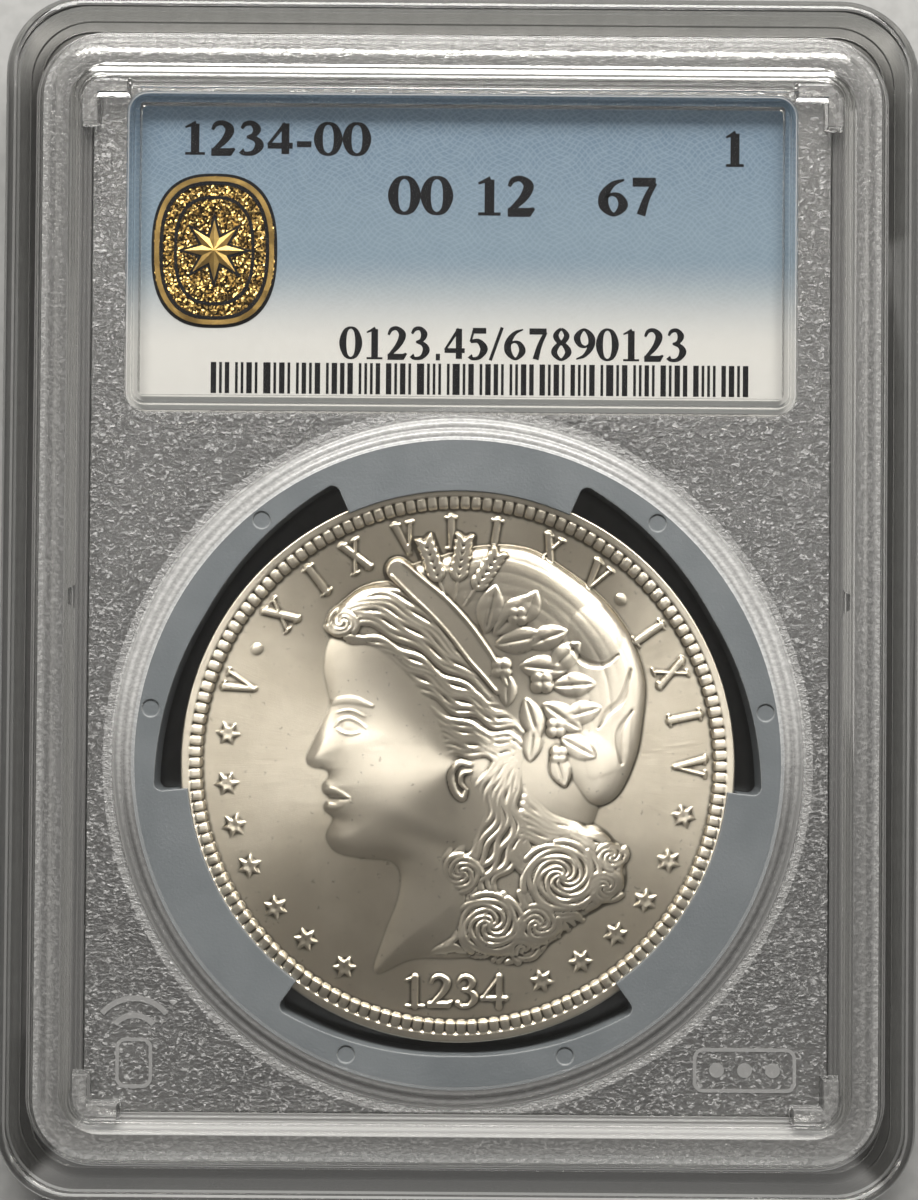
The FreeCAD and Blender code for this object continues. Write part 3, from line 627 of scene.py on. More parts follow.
# Closed outlines on the obverse, in millimetres from the coin's middle.
SKULL = (
    (-4.6, 12.2), (-1.0, 14.3), (3.5, 14.6), (7.9, 12.6), (10.6, 8.8), (11.3, 4.0), (10.2, -1.2), (8.8, -5.2),
    (7.0, -8.6), (5.6, -11.2), (3.4, -12.9), (0.2, -13.3), (-3.0, -13.4), (-5.6, -14.4), (-5.0, -11.8),
    (-4.1, -9.4), (-3.9, -7.6), (-4.6, -6.7), (-6.6, -6.5), (-8.3, -6.1), (-9.0, -5.1), (-8.7, -4.2),
    (-8.55, -3.75), (-9.15, -3.2), (-9.05, -2.65), (-8.75, -2.4), (-9.3, -1.9), (-9.25, -1.35), (-8.9, -0.95),
    (-9.0, -0.5), (-10.1, -0.25), (-10.45, 0.35), (-10.05, 1.3), (-9.35, 2.8), (-8.85, 4.0), (-9.0, 5.0),
    (-9.25, 6.6), (-8.9, 8.4), (-7.6, 10.4),
)
HAIR_BED = (
    (-8.9, 9.0), (-8.3, 10.6), (-6.9, 12.0), (-4.6, 12.5), (-1.6, 11.6), (1.0, 8.4), (3.2, 5.0), (5.6, 2.4),
    (5.2, -0.8), (7.4, -3.2), (10.2, -4.6), (11.6, -7.4), (10.4, -9.3), (8.4, -10.6), (6.3, -12.2),
    (3.6, -13.2), (0.9, -13.0), (-1.9, -12.9), (-0.6, -11.4), (-0.4, -9.4), (-1.5, -7.4), (-1.3, -5.6),
    (0.4, -4.6), (0.9, -2.6), (-0.6, -1.2), (-1.6, 0.6), (-2.4, 2.9), (-4.1, 5.5), (-6.1, 7.5), (-7.8, 7.9),
)
CAP = (
    (-3.6, 12.9), (-1.4, 14.2), (1.6, 15.0), (4.8, 14.8), (7.6, 13.2), (10.0, 11.3), (11.8, 8.9), (12.8, 6.0),
    (12.7, 3.2), (12.2, 0.4), (10.9, -2.2), (9.1, -2.8), (7.6, -1.2), (5.2, 1.8), (3.0, 5.0), (0.6, 8.4),
)
# Each family of strands: its two guides, then their number, width, wave, waves, phase and taper.
HAIR_LOCKS = (
    (((-8.6, 9.3), (-7.0, 9.6), (-4.8, 8.8), (-1.9, 7.2), (1.1, 5.4), (4.0, 3.6)),
     ((-7.9, 11.0), (-5.6, 12.2), (-3.0, 11.4), (-0.6, 9.1), (1.8, 6.7), (4.3, 4.1)),
     8, 0.52, 0.2, 4.2, 0.0, 0.25),
    (((-6.4, 7.5), (-4.6, 6.2), (-2.6, 4.9), (-0.2, 3.6), (2.2, 2.8), (4.5, 2.2)),
     ((-7.8, 8.7), (-5.8, 8.7), (-3.4, 7.7), (-0.8, 6.1), (1.9, 4.6), (4.1, 3.4)),
     7, 0.5, 0.22, 4.4, 0.1, 0.25),
    (((-1.7, 0.5), (-0.6, 0.5), (0.8, 0.6), (2.2, 0.4), (3.4, 0.2), (4.3, 0.0)),
     ((-4.2, 5.6), (-2.7, 4.4), (-0.9, 3.4), (1.2, 2.6), (3.1, 2.1), (4.6, 1.8)),
     9, 0.5, 0.2, 3.4, 0.35, 0.25),
    (((4.2, 1.2), (2.6, 0.3), (1.5, -1.0), (0.9, -2.9), (-0.3, -4.8), (-1.3, -6.6), (-0.3, -8.9)),
     ((5.2, 0.6), (4.4, -1.0), (4.1, -2.6), (4.7, -4.4), (4.3, -6.2), (3.2, -7.6), (2.4, -8.8)),
     10, 0.5, 0.22, 4.0, 0.2, 0.2),
    (((4.6, -3.2), (6.6, -4.1), (8.8, -4.9), (10.9, -6.5), (10.9, -8.4), (9.0, -9.8)),
     ((4.2, -5.0), (5.6, -5.4), (7.2, -5.4), (9.0, -6.5), (9.2, -8.0), (8.0, -9.2)),
     5, 0.5, 0.16, 3.4, 0.0, 0.2),
    (((4.9, -8.6), (5.2, -10.2), (4.7, -12.0), (2.6, -13.0), (0.4, -12.9), (-1.7, -12.8)),
     ((0.2, -9.2), (0.0, -10.6), (0.2, -11.9), (0.3, -12.4), (-0.4, -12.5), (-1.3, -12.5)),
     4, 0.46, 0.14, 3.2, 0.1, 0.2),
    (((3.4, -6.2), (4.6, -7.6), (4.5, -9.2), (5.0, -10.8), (6.6, -11.9)),
     ((4.8, -5.2), (5.6, -6.6), (6.2, -8.8), (7.4, -9.9), (8.8, -10.3)),
     7, 0.5, 0.16, 3.2, 0.3, 0.2),
    (((-0.9, -6.6), (-0.6, -8.4), (0.0, -10.0), (-0.4, -11.6), (-1.8, -12.7)),
     ((1.4, -6.2), (1.8, -7.8), (1.6, -9.4), (0.6, -11.4), (-0.8, -12.9)),
     5, 0.5, 0.16, 3.0, 0.2, 0.2),
    (((4.9, -9.6), (4.9, -11.0), (4.0, -12.5), (2.4, -13.2)),
     ((7.2, -10.0), (7.3, -11.2), (6.0, -12.6), (3.9, -13.4)),
     5, 0.5, 0.14, 3.0, 0.1, 0.2),
    (((4.8, -1.4), (6.0, -2.9), (8.0, -3.9), (10.0, -4.8), (11.4, -6.6)),
     ((4.4, -3.4), (5.8, -4.2), (7.6, -4.8), (9.4, -5.9), (10.6, -7.4)),
     4, 0.5, 0.14, 3.4, 0.6, 0.2),
)
# Each curl: its middle, radius, number of strands, turns, starting angle and hand.
CURLS = (
    (7.2, -7.6, 2.6, 7, 0.85, 100, -1), (2.3, -10.9, 2.3, 6, 0.85, 120, -1),
    (5.6, -10.9, 1.35, 4, 0.8, 20, -1), (-8.0, 9.7, 0.95, 3, 0.9, 200, 1), (10.2, -8.3, 1.1, 4, 0.8, 60, -1),
    (0.3, -7.4, 1.3, 4, 0.8, 90, 1), (10.6, -6.2, 0.9, 3, 0.8, 30, -1), (4.6, -12.6, 0.9, 3, 0.8, 10, -1),
)
# Each leaf on the cap: its foot, direction, length and half width.
CAP_LEAVES = (
    (1.8, 9.0, 78, 3.4, 0.95), (2.4, 8.9, 46, 3.8, 1.0), (2.5, 8.2, 12, 3.4, 0.95), (4.2, 9.6, 64, 2.6, 0.8),
    (4.6, 8.2, 20, 3.0, 0.85), (4.2, 6.8, -6, 3.2, 0.9), (6.2, 6.4, 44, 2.9, 0.85), (6.4, 5.4, 4, 3.0, 0.85),
    (5.8, 4.2, -34, 3.2, 0.9), (7.0, 3.2, 16, 2.9, 0.8), (7.0, 1.9, -28, 2.8, 0.8),
    (6.6, 1.0, -72, 2.6, 0.75), (4.6, 4.6, -72, 3.0, 0.8), (5.2, 2.8, -96, 2.6, 0.7),
    (3.4, 6.2, -92, 2.2, 0.65),
)


def border(relief, beads=150):
    """The raised rim with its ring of beads, the same on both sides."""
    angle = np.arctan2(relief.y, relief.x)
    step = 2 * np.pi / beads
    off = (np.abs((angle + step / 2) % step - step / 2) * relief.r) / 0.36
    out = (relief.r - 18.02) / 0.5
    bead = 0.28 * np.sqrt(np.clip(1 - off ** 4 - out ** 4, 0, 1))
    rise = 0.27 * np.clip((relief.r - 18.25) / 0.2, 0, 1)
    return np.maximum(bead, rise)


def obverse():
    relief = Relief()
    layers = []

    # Head, seen from its left: skull, face and neck as one swelling, then its own soft forms.
    skull = spline(SKULL, 5, closed=True)
    depth = relief.inside(skull)
    head = 1.02 * (1 - np.exp(-depth / 1.9)) + 0.16 * (1 - np.exp(-depth / 0.28))
    face = (
        relief.bump(-5.0, -1.3, 2.1, 2.3, 0.15)             # cheek
        + relief.bump(-7.6, 5.9, 1.5, 2.3, 0.09)            # forehead
        + relief.bump(-9.35, 1.0, 0.75, 1.5, 0.17, -20)     # nose
        + relief.bump(-9.3, -0.05, 0.55, 0.4, 0.10)         # wing of the nose
        + relief.bump(-7.7, -5.2, 1.0, 0.8, 0.13)           # chin
        - relief.bump(-8.2, -3.9, 0.9, 0.32, 0.10)          # below the lip
        - relief.bump(-7.2, 2.75, 1.15, 0.75, 0.26)         # eye socket
        - relief.bump(-8.0, 0.9, 0.45, 1.3, 0.09, -18)      # beside the nose
        - relief.bump(-1.3, -5.6, 2.9, 0.8, 0.16, -24)      # under the jaw
        - relief.bump(-4.6, -6.5, 1.6, 0.5, 0.12, -4)       # throat
        + relief.bump(-2.7, -4.0, 2.6, 0.8, 0.10, -22)      # jaw
        + relief.bump(-0.6, -9.6, 1.6, 3.4, 0.14, 14)       # neck
    )
    share = np.clip(depth / 0.7, 0, 1)
    head = head + face * share
    ridge = relief.tubes(
        [curve((-9.0, 3.95, 0.2), (-8.2, 4.3, 0.5), (-7.1, 4.35, 0.55), (-5.9, 3.95, 0.25))], 0.11)
    eyeball = relief.bump(-7.55, 2.6, 0.62, 0.52, 0.19)
    lids = relief.tubes([
        curve((-8.45, 2.5, 0.12), (-8.1, 2.95, 0.24), (-7.45, 3.12, 0.28), (-6.8, 2.85, 0.24),
              (-6.3, 2.45, 0.12)),
        curve((-8.35, 2.4, 0.1), (-7.9, 2.12, 0.2), (-7.3, 2.02, 0.2), (-6.7, 2.15, 0.12)),
        curve((-8.3, 3.5, 0.1), (-7.4, 3.65, 0.2), (-6.4, 3.25, 0.1)),
    ], 0.12)
    iris = relief.bump(-7.95, 2.56, 0.15, 0.24, -0.07)
    lips = relief.tubes([
        curve((-9.2, -1.95, 0.3), (-8.7, -1.85, 0.5), (-8.0, -2.05, 0.4), (-7.35, -2.4, 0.15)),
        curve((-9.05, -2.85, 0.3), (-8.6, -2.95, 0.6), (-8.0, -2.8, 0.45), (-7.4, -2.5, 0.15)),
    ], 0.11)
    nostril = relief.bump(-9.35, -0.35, 0.2, 0.13, -0.13)
    mouth = relief.tubes([curve((-9.0, -2.4, 0.18), (-8.2, -2.4, 0.2), (-7.3, -2.42, 0.16))], 0.09)
    head = head + (ridge + eyeball + lids + iris + lips + nostril - mouth) * np.clip(depth / 0.2, 0, 1)
    layers.append(head)

    # Hair: families of strands, each spread between two guides. They meet behind the ear and fall in a roll.
    hair_bed = spline(HAIR_BED, 6, closed=True)
    bed = relief.inside(hair_bed)
    hair_base = 0.98 * (1 - np.exp(-bed / 0.5)) + 0.3 * (1 - np.exp(-bed / 2.6))
    strands = [strand for settings in HAIR_LOCKS for strand in locks(*settings)]
    curls = [strand for settings in CURLS for strand in curl(*settings)]
    hair = relief.tubes(strands, 0.27)
    rolls = relief.tubes(curls, 0.36)
    hair = np.where(rolls > 0.02, np.maximum(rolls, hair * 0.4), hair)
    swell = relief.bump(7.1, -7.6, 2.0, 2.0, 0.18) + relief.bump(2.2, -11.0, 1.9, 1.9, 0.18)
    layers.append(np.where((bed > 0) | (hair > 0.02), hair_base + hair + swell, 0))
    ear = relief.tubes([curve((0.9, 0.0, 0.3), (0.1, 0.1, 0.42), (-0.45, -0.7, 0.46), (-0.2, -1.8, 0.46),
        (0.35, -2.3, 0.4), (0.6, -1.7, 0.2)),
                        curve((0.9, -0.5, 0.2), (0.35, -0.6, 0.3), (0.2, -1.2, 0.3), (0.5, -1.6, 0.2))], 0.3)
    layers.append(np.where(ear > 0.01, 1.2 + ear, 0))

    # Cap: a soft bag behind the band, gathered in folds.
    cap_line = spline(CAP, 6, closed=True)
    inner = relief.inside(cap_line)
    cap = 0.98 * (1 - np.exp(-inner / 0.42)) + 0.42 * (1 - np.exp(-inner / 2.6))
    folds = relief.tubes(
        locks(((0.6, 9.4), (3.6, 9.9), (6.4, 8.3), (8.2, 4.6), (8.8, -0.6)),
              ((-1.2, 13.2), (3.2, 14.0), (7.9, 11.9), (11.4, 7.2), (11.6, 0.2)),
              5, 1.0, 0.14, 1.0, 0.2, 0.1), 0.13)
    knob = 0.4 * np.clip(1 - ((relief.x - 9.4) ** 2 + (relief.y - 9.1) ** 2) / 1.95 ** 2, 0, 1)
    lobe = 0.3 * np.clip(1 - ((relief.x - 8.3) ** 2 + (relief.y + 0.2) ** 2) / 2.7 ** 2, 0, 1)
    crease = relief.tubes([
        curve((7.6, 8.2, 0.3), (8.6, 7.1, 0.5), (9.9, 6.9, 0.4), (10.9, 7.6, 0.2)),
        curve((11.8, 6.6, 0.2), (11.2, 4.6, 0.5), (10.2, 3.6, 0.5), (9.6, 2.6, 0.2)),
        curve((11.9, 3.8, 0.2), (11.0, 2.2, 0.5), (11.2, 0.2, 0.3)),
    ], 0.16)
    cap = cap + 0.5 * folds + knob + lobe - crease
    layers.append(np.where(inner > 0, cap, 0))

    # Leaves, bolls and ears on the cap.
    sprays = np.zeros_like(relief.h)
    for leaf in CAP_LEAVES:
        sprays = np.maximum(sprays, relief.leaf(*leaf, SIGN_RISE))
    for x, y, size in ((4.0, 10.2, 0.72), (2.9, 6.6, 0.72), (5.7, 5.7, 0.8), (6.7, 2.6, 0.7), (6.9, 0.7, 0.62)):
        for turn in (45, 135, 225, 315):
            cx, cy = on_circle(0.5 * size, turn)
            sprays = np.maximum(sprays, 0.48 * relief.ball(x + cx, y + cy, 0.62 * size))
    for foot, tip in (((-0.9, 11.3), (-2.4, 15.3)), ((-0.3, 11.3), (0.35, 15.5)), ((0.4, 10.9), (2.7, 14.5))):
        lean = math.degrees(math.atan2(tip[1] - foot[1], tip[0] - foot[0]))
        stem = np.array([(*foot, 0.2), (*tip, 0.12)])
        sprays = np.maximum(sprays, relief.tubes([stem], 0.2))
        for k in range(6):
            along = 0.3 + 0.7 * k / 6
            x, y = foot[0] + (tip[0] - foot[0]) * along, foot[1] + (tip[1] - foot[1]) * along
            for side in (-1, 1):
                sprays = np.maximum(sprays, relief.leaf(x, y, lean + side * 36, 1.0, 0.23, 0.42))
    under = np.maximum(1.12, np.maximum(layers[-1], layers[-2]) * 0.96)
    layers.append(np.where(sprays > 0.01, under + sprays, 0))

    # Plain band between hair and cap.
    band = spline(rows((-4.2, 13.3, 1.5), (-3.0, 12.2, 1.65), (-1.4, 10.8, 1.8), (0.0, 9.3, 1.85),
                       (1.3, 7.6, 1.8), (2.2, 6.4, 1.5), (2.9, 5.3, 1.1)), 6)
    raised = relief.plates([band], 1.0, 0.22)
    run = np.gradient(band[:, :2], axis=0)
    across = np.column_stack([-run[:, 1], run[:, 0]]) / np.linalg.norm(run, axis=1)[:, None]
    across = across * band[:, 2:3] * 0.42
    width = np.full(len(band), 0.3)
    hems = relief.tubes([np.column_stack([band[:, :2] + side * across, width]) for side in (-1, 1)],
                        0.2)
    layers.append(np.where(raised > 0, 1.36 * raised + hems, 0))

    signs = []
    for turn, mark in NUMERALS:
        strokes, length = figure_strokes(mark, 1.4)
        signs += placed(strokes, *on_circle(LEGEND_REACH - 1.1, turn), 2.2, turn - 90, length / 2 - 0.04)
    strokes, length = figure_strokes("1234", 1.5)
    signs += placed(strokes, -0.25, -16.6, 2.15, 0, length / 2 - 0.04, 1.55)
    signs = relief.plates(signs, SIGN_RISE)
    for turn in STAR_ANGLES:
        signs = np.maximum(signs, relief.star(*on_circle(LEGEND_REACH, turn), 0.92, SIGN_RISE, turn))
    for turn in DOT_ANGLES:
        signs = np.maximum(signs, 0.6 * DOT_RADIUS * relief.ball(*on_circle(LEGEND_REACH, turn), DOT_RADIUS))
    field = np.maximum.reduce(layers + [signs])
    relief.h = np.maximum(RELIEF_SCALE * field, border(relief))
    return relief


def reverse():
    """A generic back: a wreath of leaves around a large figure one."""
    relief = Relief()
    field = np.zeros_like(relief.h)
    for side in (-1, 1):
        for k in range(15):
            a = math.radians(-80 + 11.2 * k)
            x, y = side * 12.6 * math.cos(a), 12.6 * math.sin(a)
            turn = math.degrees(math.atan2(math.cos(a), -side * math.sin(a)))
            for lean in (-34, 0, 34):
                field = np.maximum(field, relief.leaf(x, y, turn + lean, 3.0, 0.62, 0.4))
    strokes, length = figure_strokes("1", 1.2)
    figures = placed(strokes, 0, -5.5, 11.0, 0, length / 2 + 0.02)
    field = np.maximum(field, relief.plates(figures, 0.5, 0.18))
    for k in range(13):
        turn = 360 / 13 * k + 90
        field = np.maximum(field, relief.star(*on_circle(LEGEND_REACH, turn), 0.9, SIGN_RISE, turn))
    relief.h = np.maximum(RELIEF_SCALE * field, border(relief))
    return relief


# ---------------------------------------------------------------- coin mesh

RELIEF_SCALE = 0.46
INNER_REACH = 16.9
FIELD_DROP = 0.27
REEDS = 160
REED_DEPTH = 0.12
CORNER = 0.12
# The edge's rings of points: how far below a face, how far outside the radius, and the share of a reed's depth.
EDGE_RINGS = ((0.09, -0.03, 0), (0.2, 0, 0.3), (0.35, 0, 1))
FRONT_CELLS, BACK_CELLS = 400, 200
FRONT_RINGS, BACK_RINGS = 26, 13


def disc_grid(cells):
    """A square grid laid over a disc of radius one, and its rim's points in order."""
    line = np.linspace(-1, 1, cells + 1)
    u, v = np.meshgrid(line, line)
    x, y = u * np.sqrt(1 - v * v / 2), v * np.sqrt(1 - u * u / 2)
    index = np.arange((cells + 1) ** 2).reshape(cells + 1, cells + 1)
    rim = np.concatenate([index[0, :-1], index[:-1, -1], index[-1, :0:-1], index[:0:-1, 0]])
    quads = np.stack([index[:-1, :-1], index[:-1, 1:], index[1:, 1:], index[1:, :-1]], -1).reshape(-1, 4)
    return np.column_stack([x.ravel(), y.ravel()]), quads, rim


def sample(h, x, y):
    """A map's value at the points x, y, read between its cells."""
    u = np.clip((x + RASTER_HALF) / RASTER_PITCH, 0, len(h) - 1.001)
    v = np.clip((y + RASTER_HALF) / RASTER_PITCH, 0, len(h) - 1.001)
    i, j = u.astype(int), v.astype(int)
    s, t = u - i, v - j
    return (h[j, i] * (1 - s) * (1 - t) + h[j, i + 1] * s * (1 - t)
            + h[j + 1, i] * (1 - s) * t + h[j + 1, i + 1] * s * t)


def coin_side(relief, cells, steps):
    """One side: the disc grid inside and rings of points beyond it, with its outer row and how hollow it is,
    which sets the painted shade in its recesses.
    """
    relief.hollow = blurred(relief.h, 4) - relief.h
    grid, quads, rim = disc_grid(cells)
    grid = grid * INNER_REACH
    angle = np.arctan2(grid[rim, 1], grid[rim, 0])
    top = COIN_RADIUS - CORNER
    radii = (INNER_REACH + (top - INNER_REACH) * np.arange(1, steps + 1) / steps)[:, None]
    ring = np.column_stack([(radii * np.cos(angle)).ravel(), (radii * np.sin(angle)).ravel()])
    flat = np.vstack([grid, ring])
    height = sample(relief.h, flat[:, 0], flat[:, 1])
    count, base = len(rim), len(grid)
    rows_of = [rim] + [base + k * count + np.arange(count) for k in range(steps)]
    faces = [quads]
    for a, b in zip(rows_of, rows_of[1:]):
        faces.append(np.column_stack([a, b, np.roll(b, -1), np.roll(a, -1)]))
    hollow = sample(relief.hollow, flat[:, 0], flat[:, 1])
    return np.column_stack([flat, height]), np.vstack(faces), rows_of[-1], angle, hollow


def make_coin():
    front, front_faces, front_rim, angle, front_hollow = coin_side(obverse(), FRONT_CELLS, FRONT_RINGS)
    back, back_faces, back_rim, _, back_hollow = coin_side(reverse(), BACK_CELLS, BACK_RINGS)
    field = COIN_HALF - FIELD_DROP
    front[:, 2] += field
    back[:, 2] = -field - back[:, 2]
    band = []
    reed = 0.5 + 0.5 * np.cos(angle * REEDS)
    levels = [(COIN_HALF - drop, shift, depth) for drop, shift, depth in EDGE_RINGS]
    levels += [(-z, shift, depth) for z, shift, depth in reversed(levels)]
    for z, shift, depth in levels:
        radius = COIN_RADIUS + shift - REED_DEPTH * depth * (1 - reed)
        band.append(np.column_stack([radius * np.cos(angle), radius * np.sin(angle), np.full(len(angle), z)]))
    points = np.vstack([front] + band + [back])
    faces, count = [front_faces], len(angle)
    row = front_rim
    for k in range(len(band)):
        after = len(front) + k * count + np.arange(count)
        faces.append(np.column_stack([row, after, np.roll(after, -1), np.roll(row, -1)]))
        row = after
    base = len(front) + len(band) * count
    faces.append(back_faces[:, ::-1] + base)
    half = back_rim + base
    even, odd = row[0::2], row[1::2]
    quads = np.vstack(faces).tolist()
    for k in range(len(half)):
        nxt = (k + 1) % len(half)
        quads.append([int(even[k]), int(half[k]), int(odd[k])])
        quads.append([int(odd[k]), int(half[k]), int(half[nxt]), int(even[nxt])])
    coin = add_piece("struck_coin", points * MM + COIN_MIDDLE, quads, silver(), "coin")
    hollow = coin.data.attributes.new("hollow", "FLOAT", "POINT")
    hollow.data.foreach_set("value", np.concatenate([front_hollow, np.zeros(len(band) * count), back_hollow]))


# ---------------------------------------------------------------- pieces


def add_piece(name, points, faces, material, stands_for=None, smooth=True):
    mesh = bpy.data.meshes.new(name)
    mesh.from_pydata([tuple(map(float, p)) for p in points], [], [tuple(map(int, f)) for f in faces])
    mesh.materials.append(material)
    mesh.polygons.foreach_set("use_smooth", [smooth] * len(mesh.polygons))
    mesh.update()
    piece = bpy.data.objects.new(name, mesh)
    scene.collection.objects.link(piece)
    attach(piece, "root")
    if stands_for:
        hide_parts(stands_for)
    return piece


CROSSING_STEP = 0.0008  # so that two strokes that cross never share a level


def stroke_mesh(strokes, z, depth):
    """Flat inked strokes as thin solid strips from z - depth up to z, in millimetres."""
    points, faces = [], []
    for order, line in enumerate(strokes):
        top = z - CROSSING_STEP * (order % 5)
        run = np.gradient(line[:, :2], axis=0)
        run /= np.linalg.norm(run, axis=1)[:, None] + 1e-9
        across = np.column_stack([-run[:, 1], run[:, 0]]) * line[:, 2:3] / 2
        left, right = line[:, :2] + across, line[:, :2] - across
        base, size = len(points), len(line)
        for (ax, ay), (bx, by) in zip(left, right):
            points += [(ax, ay, top), (bx, by, top), (ax, ay, z - depth), (bx, by, z - depth)]
        for k in range(size - 1):
            a, b = base + 4 * k, base + 4 * k + 4
            faces += [(a, a + 1, b + 1, b), (a + 2, b + 2, b + 3, a + 3),
                      (a, b, b + 2, a + 2), (a + 1, a + 3, b + 3, b + 1)]
        end = base + 4 * (size - 1)
        faces += [(base, base + 2, base + 3, base + 1), (end, end + 1, end + 3, end + 2)]
    return points, faces


# ---------------------------------------------------------------- label

CARD_HIGH = np.array(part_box("label_card")[1]) / MM
EMBLEM_LOW, EMBLEM_HIGH = [np.array(p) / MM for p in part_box("label_emblem")]
INK_RISE = 0.012
# Lines of figures: text, left end, foot, right end, height and weight.
PRINT_LINES = (
    ("1234-00", -19.55, 30.7, -6.3, 2.25, 1.85), ("1", 17.9, 30.15, 19.7, 2.4, 1.85),
    ("00 12", -5.1, 26.65, 5.2, 2.6, 1.85), ("67", 9.4, 26.65, 13.7, 2.6, 1.85),
    ("0123.45/67890123", -8.4, 16.6, 15.7, 2.2, 1.5),
)
BARS_LEFT, BARS_RIGHT = -17.27, 19.7
BARS_FOOT, BARS_TOP = 14.15, 16.3
OVAL_POWER = 2.6
RING_STARS = 16
RING_INSET = 0.98


def text_line(text, left, foot, right, cap, weight):
    """A line of figures with its foot at foot and its length fitted between left and right."""
    strokes, length = figure_strokes(text, weight)
    stretch = (right - left) / (length * cap)
    return placed(strokes, left, foot, cap, 0, 0.0, stretch)


def make_print(top, ink):
    """Everything printed on the label: figures only, and a row of plain bars."""
    strokes = [stroke for line in PRINT_LINES for stroke in text_line(*line)]
    bars, x, k = [], BARS_LEFT, 0
    while x < BARS_RIGHT:
        wide = 0.19 + 0.19 * ((k * 7 + k // 3) % 3 == 0) + 0.12 * (k % 5 == 2)
        bars.append(bar(x + wide / 2, BARS_FOOT, x + wide / 2, BARS_TOP, wide))
        x += wide + 0.2 + 0.2 * ((k * 5 + k // 4) % 3 == 1)
        k += 1
    for name, marks in (("label_figures", strokes), ("label_bars", bars)):
        points, faces = stroke_mesh(marks, top + INK_RISE, INK_RISE * 0.9)
        add_piece(name, np.array(points) * MM, faces, ink, smooth=False)


def stadium(cx, cy, half_x, half_y, count):
    """Points of a rounded outline about cx, cy."""
    points = []
    for k in range(count):
        a = 2 * math.pi * k / count
        c, s = math.cos(a), math.sin(a)
        reach = (abs(c / half_x) ** OVAL_POWER + abs(s / half_y) ** OVAL_POWER) ** (-1 / OVAL_POWER)
        points.append((cx + reach * c, cy + reach * s))
    return points


def band_mesh(outer, inner, z, depth):
    """A flat raised band between two outlines of equal length."""
    count = len(outer)
    points = [(x, y, z) for x, y in outer] + [(x, y, z) for x, y in inner]
    points += [(x, y, z - depth) for x, y in outer] + [(x, y, z - depth) for x, y in inner]
    faces = []
    for k in range(count):
        n = (k + 1) % count
        faces += [(k, n, count + n, count + k), (k, 2 * count + k, 2 * count + n, n),
                  (count + k, count + n, 3 * count + n, 3 * count + k),
                  (2 * count + k, 3 * count + k, 3 * count + n, 2 * count + n)]
    return points, faces


def star_mesh(cx, cy, size, waist, tips, z, depth):
    """A faceted star that rises to a point in its middle."""
    points = [(cx, cy, z)]
    for k in range(2 * tips):
        dx, dy = on_circle(waist if k % 2 else size, 90 + 180 * k / tips)
        points.append((cx + dx, cy + dy, z - depth))
    faces = [(0, 1 + k, 1 + (k + 1) % (2 * tips)) for k in range(2 * tips)]
    faces.append(tuple(range(2 * tips, 0, -1)))
    return points, faces


def joined(meshes):
    points, faces = [], []
    for some_points, some_faces in meshes:
        base = len(points)
        points += some_points
        faces += [tuple(base + i for i in face) for face in some_faces]
    return points, faces


def make_emblem(gold, dark):
    """An oval seal: a border between dark lines, a faceted star and a ring of small ones."""
    cx, cy = (EMBLEM_LOW + EMBLEM_HIGH)[:2] / 2
    half_x, half_y = (EMBLEM_HIGH - EMBLEM_LOW)[:2] / 2
    top = EMBLEM_HIGH[2]

    def oval(inset, count=96):
        return stadium(cx, cy, half_x - inset, half_y - inset, count)

    def band(near, far, z, depth):
        return band_mesh(oval(near), oval(far), z, depth)

    raised = [band(0.02, 0.34, top + 0.05, 0.05), star_mesh(cx, cy, 2.1, 0.9, 8, top + 0.22, 0.15)]
    raised += [star_mesh(*place, 0.26, 0.12, 4, top + 0.07, 0.06) for place in oval(RING_INSET, RING_STARS)]
    lines = [band(-0.2, 0.04, CARD_HIGH[2] + 0.02, 0.018), band(0.36, 0.6, top + 0.03, 0.03),
             band(1.36, 1.58, top + 0.03, 0.03), star_mesh(cx, cy, 2.65, 1.2, 8, top + 0.05, 0.03)]
    for name, meshes, material in (("emblem_relief", raised, gold), ("emblem_lines", lines, dark)):
        points, faces = joined(meshes)
        add_piece(name, np.array(points) * MM, faces, material, smooth=False)


# ---------------------------------------------------------------- materials


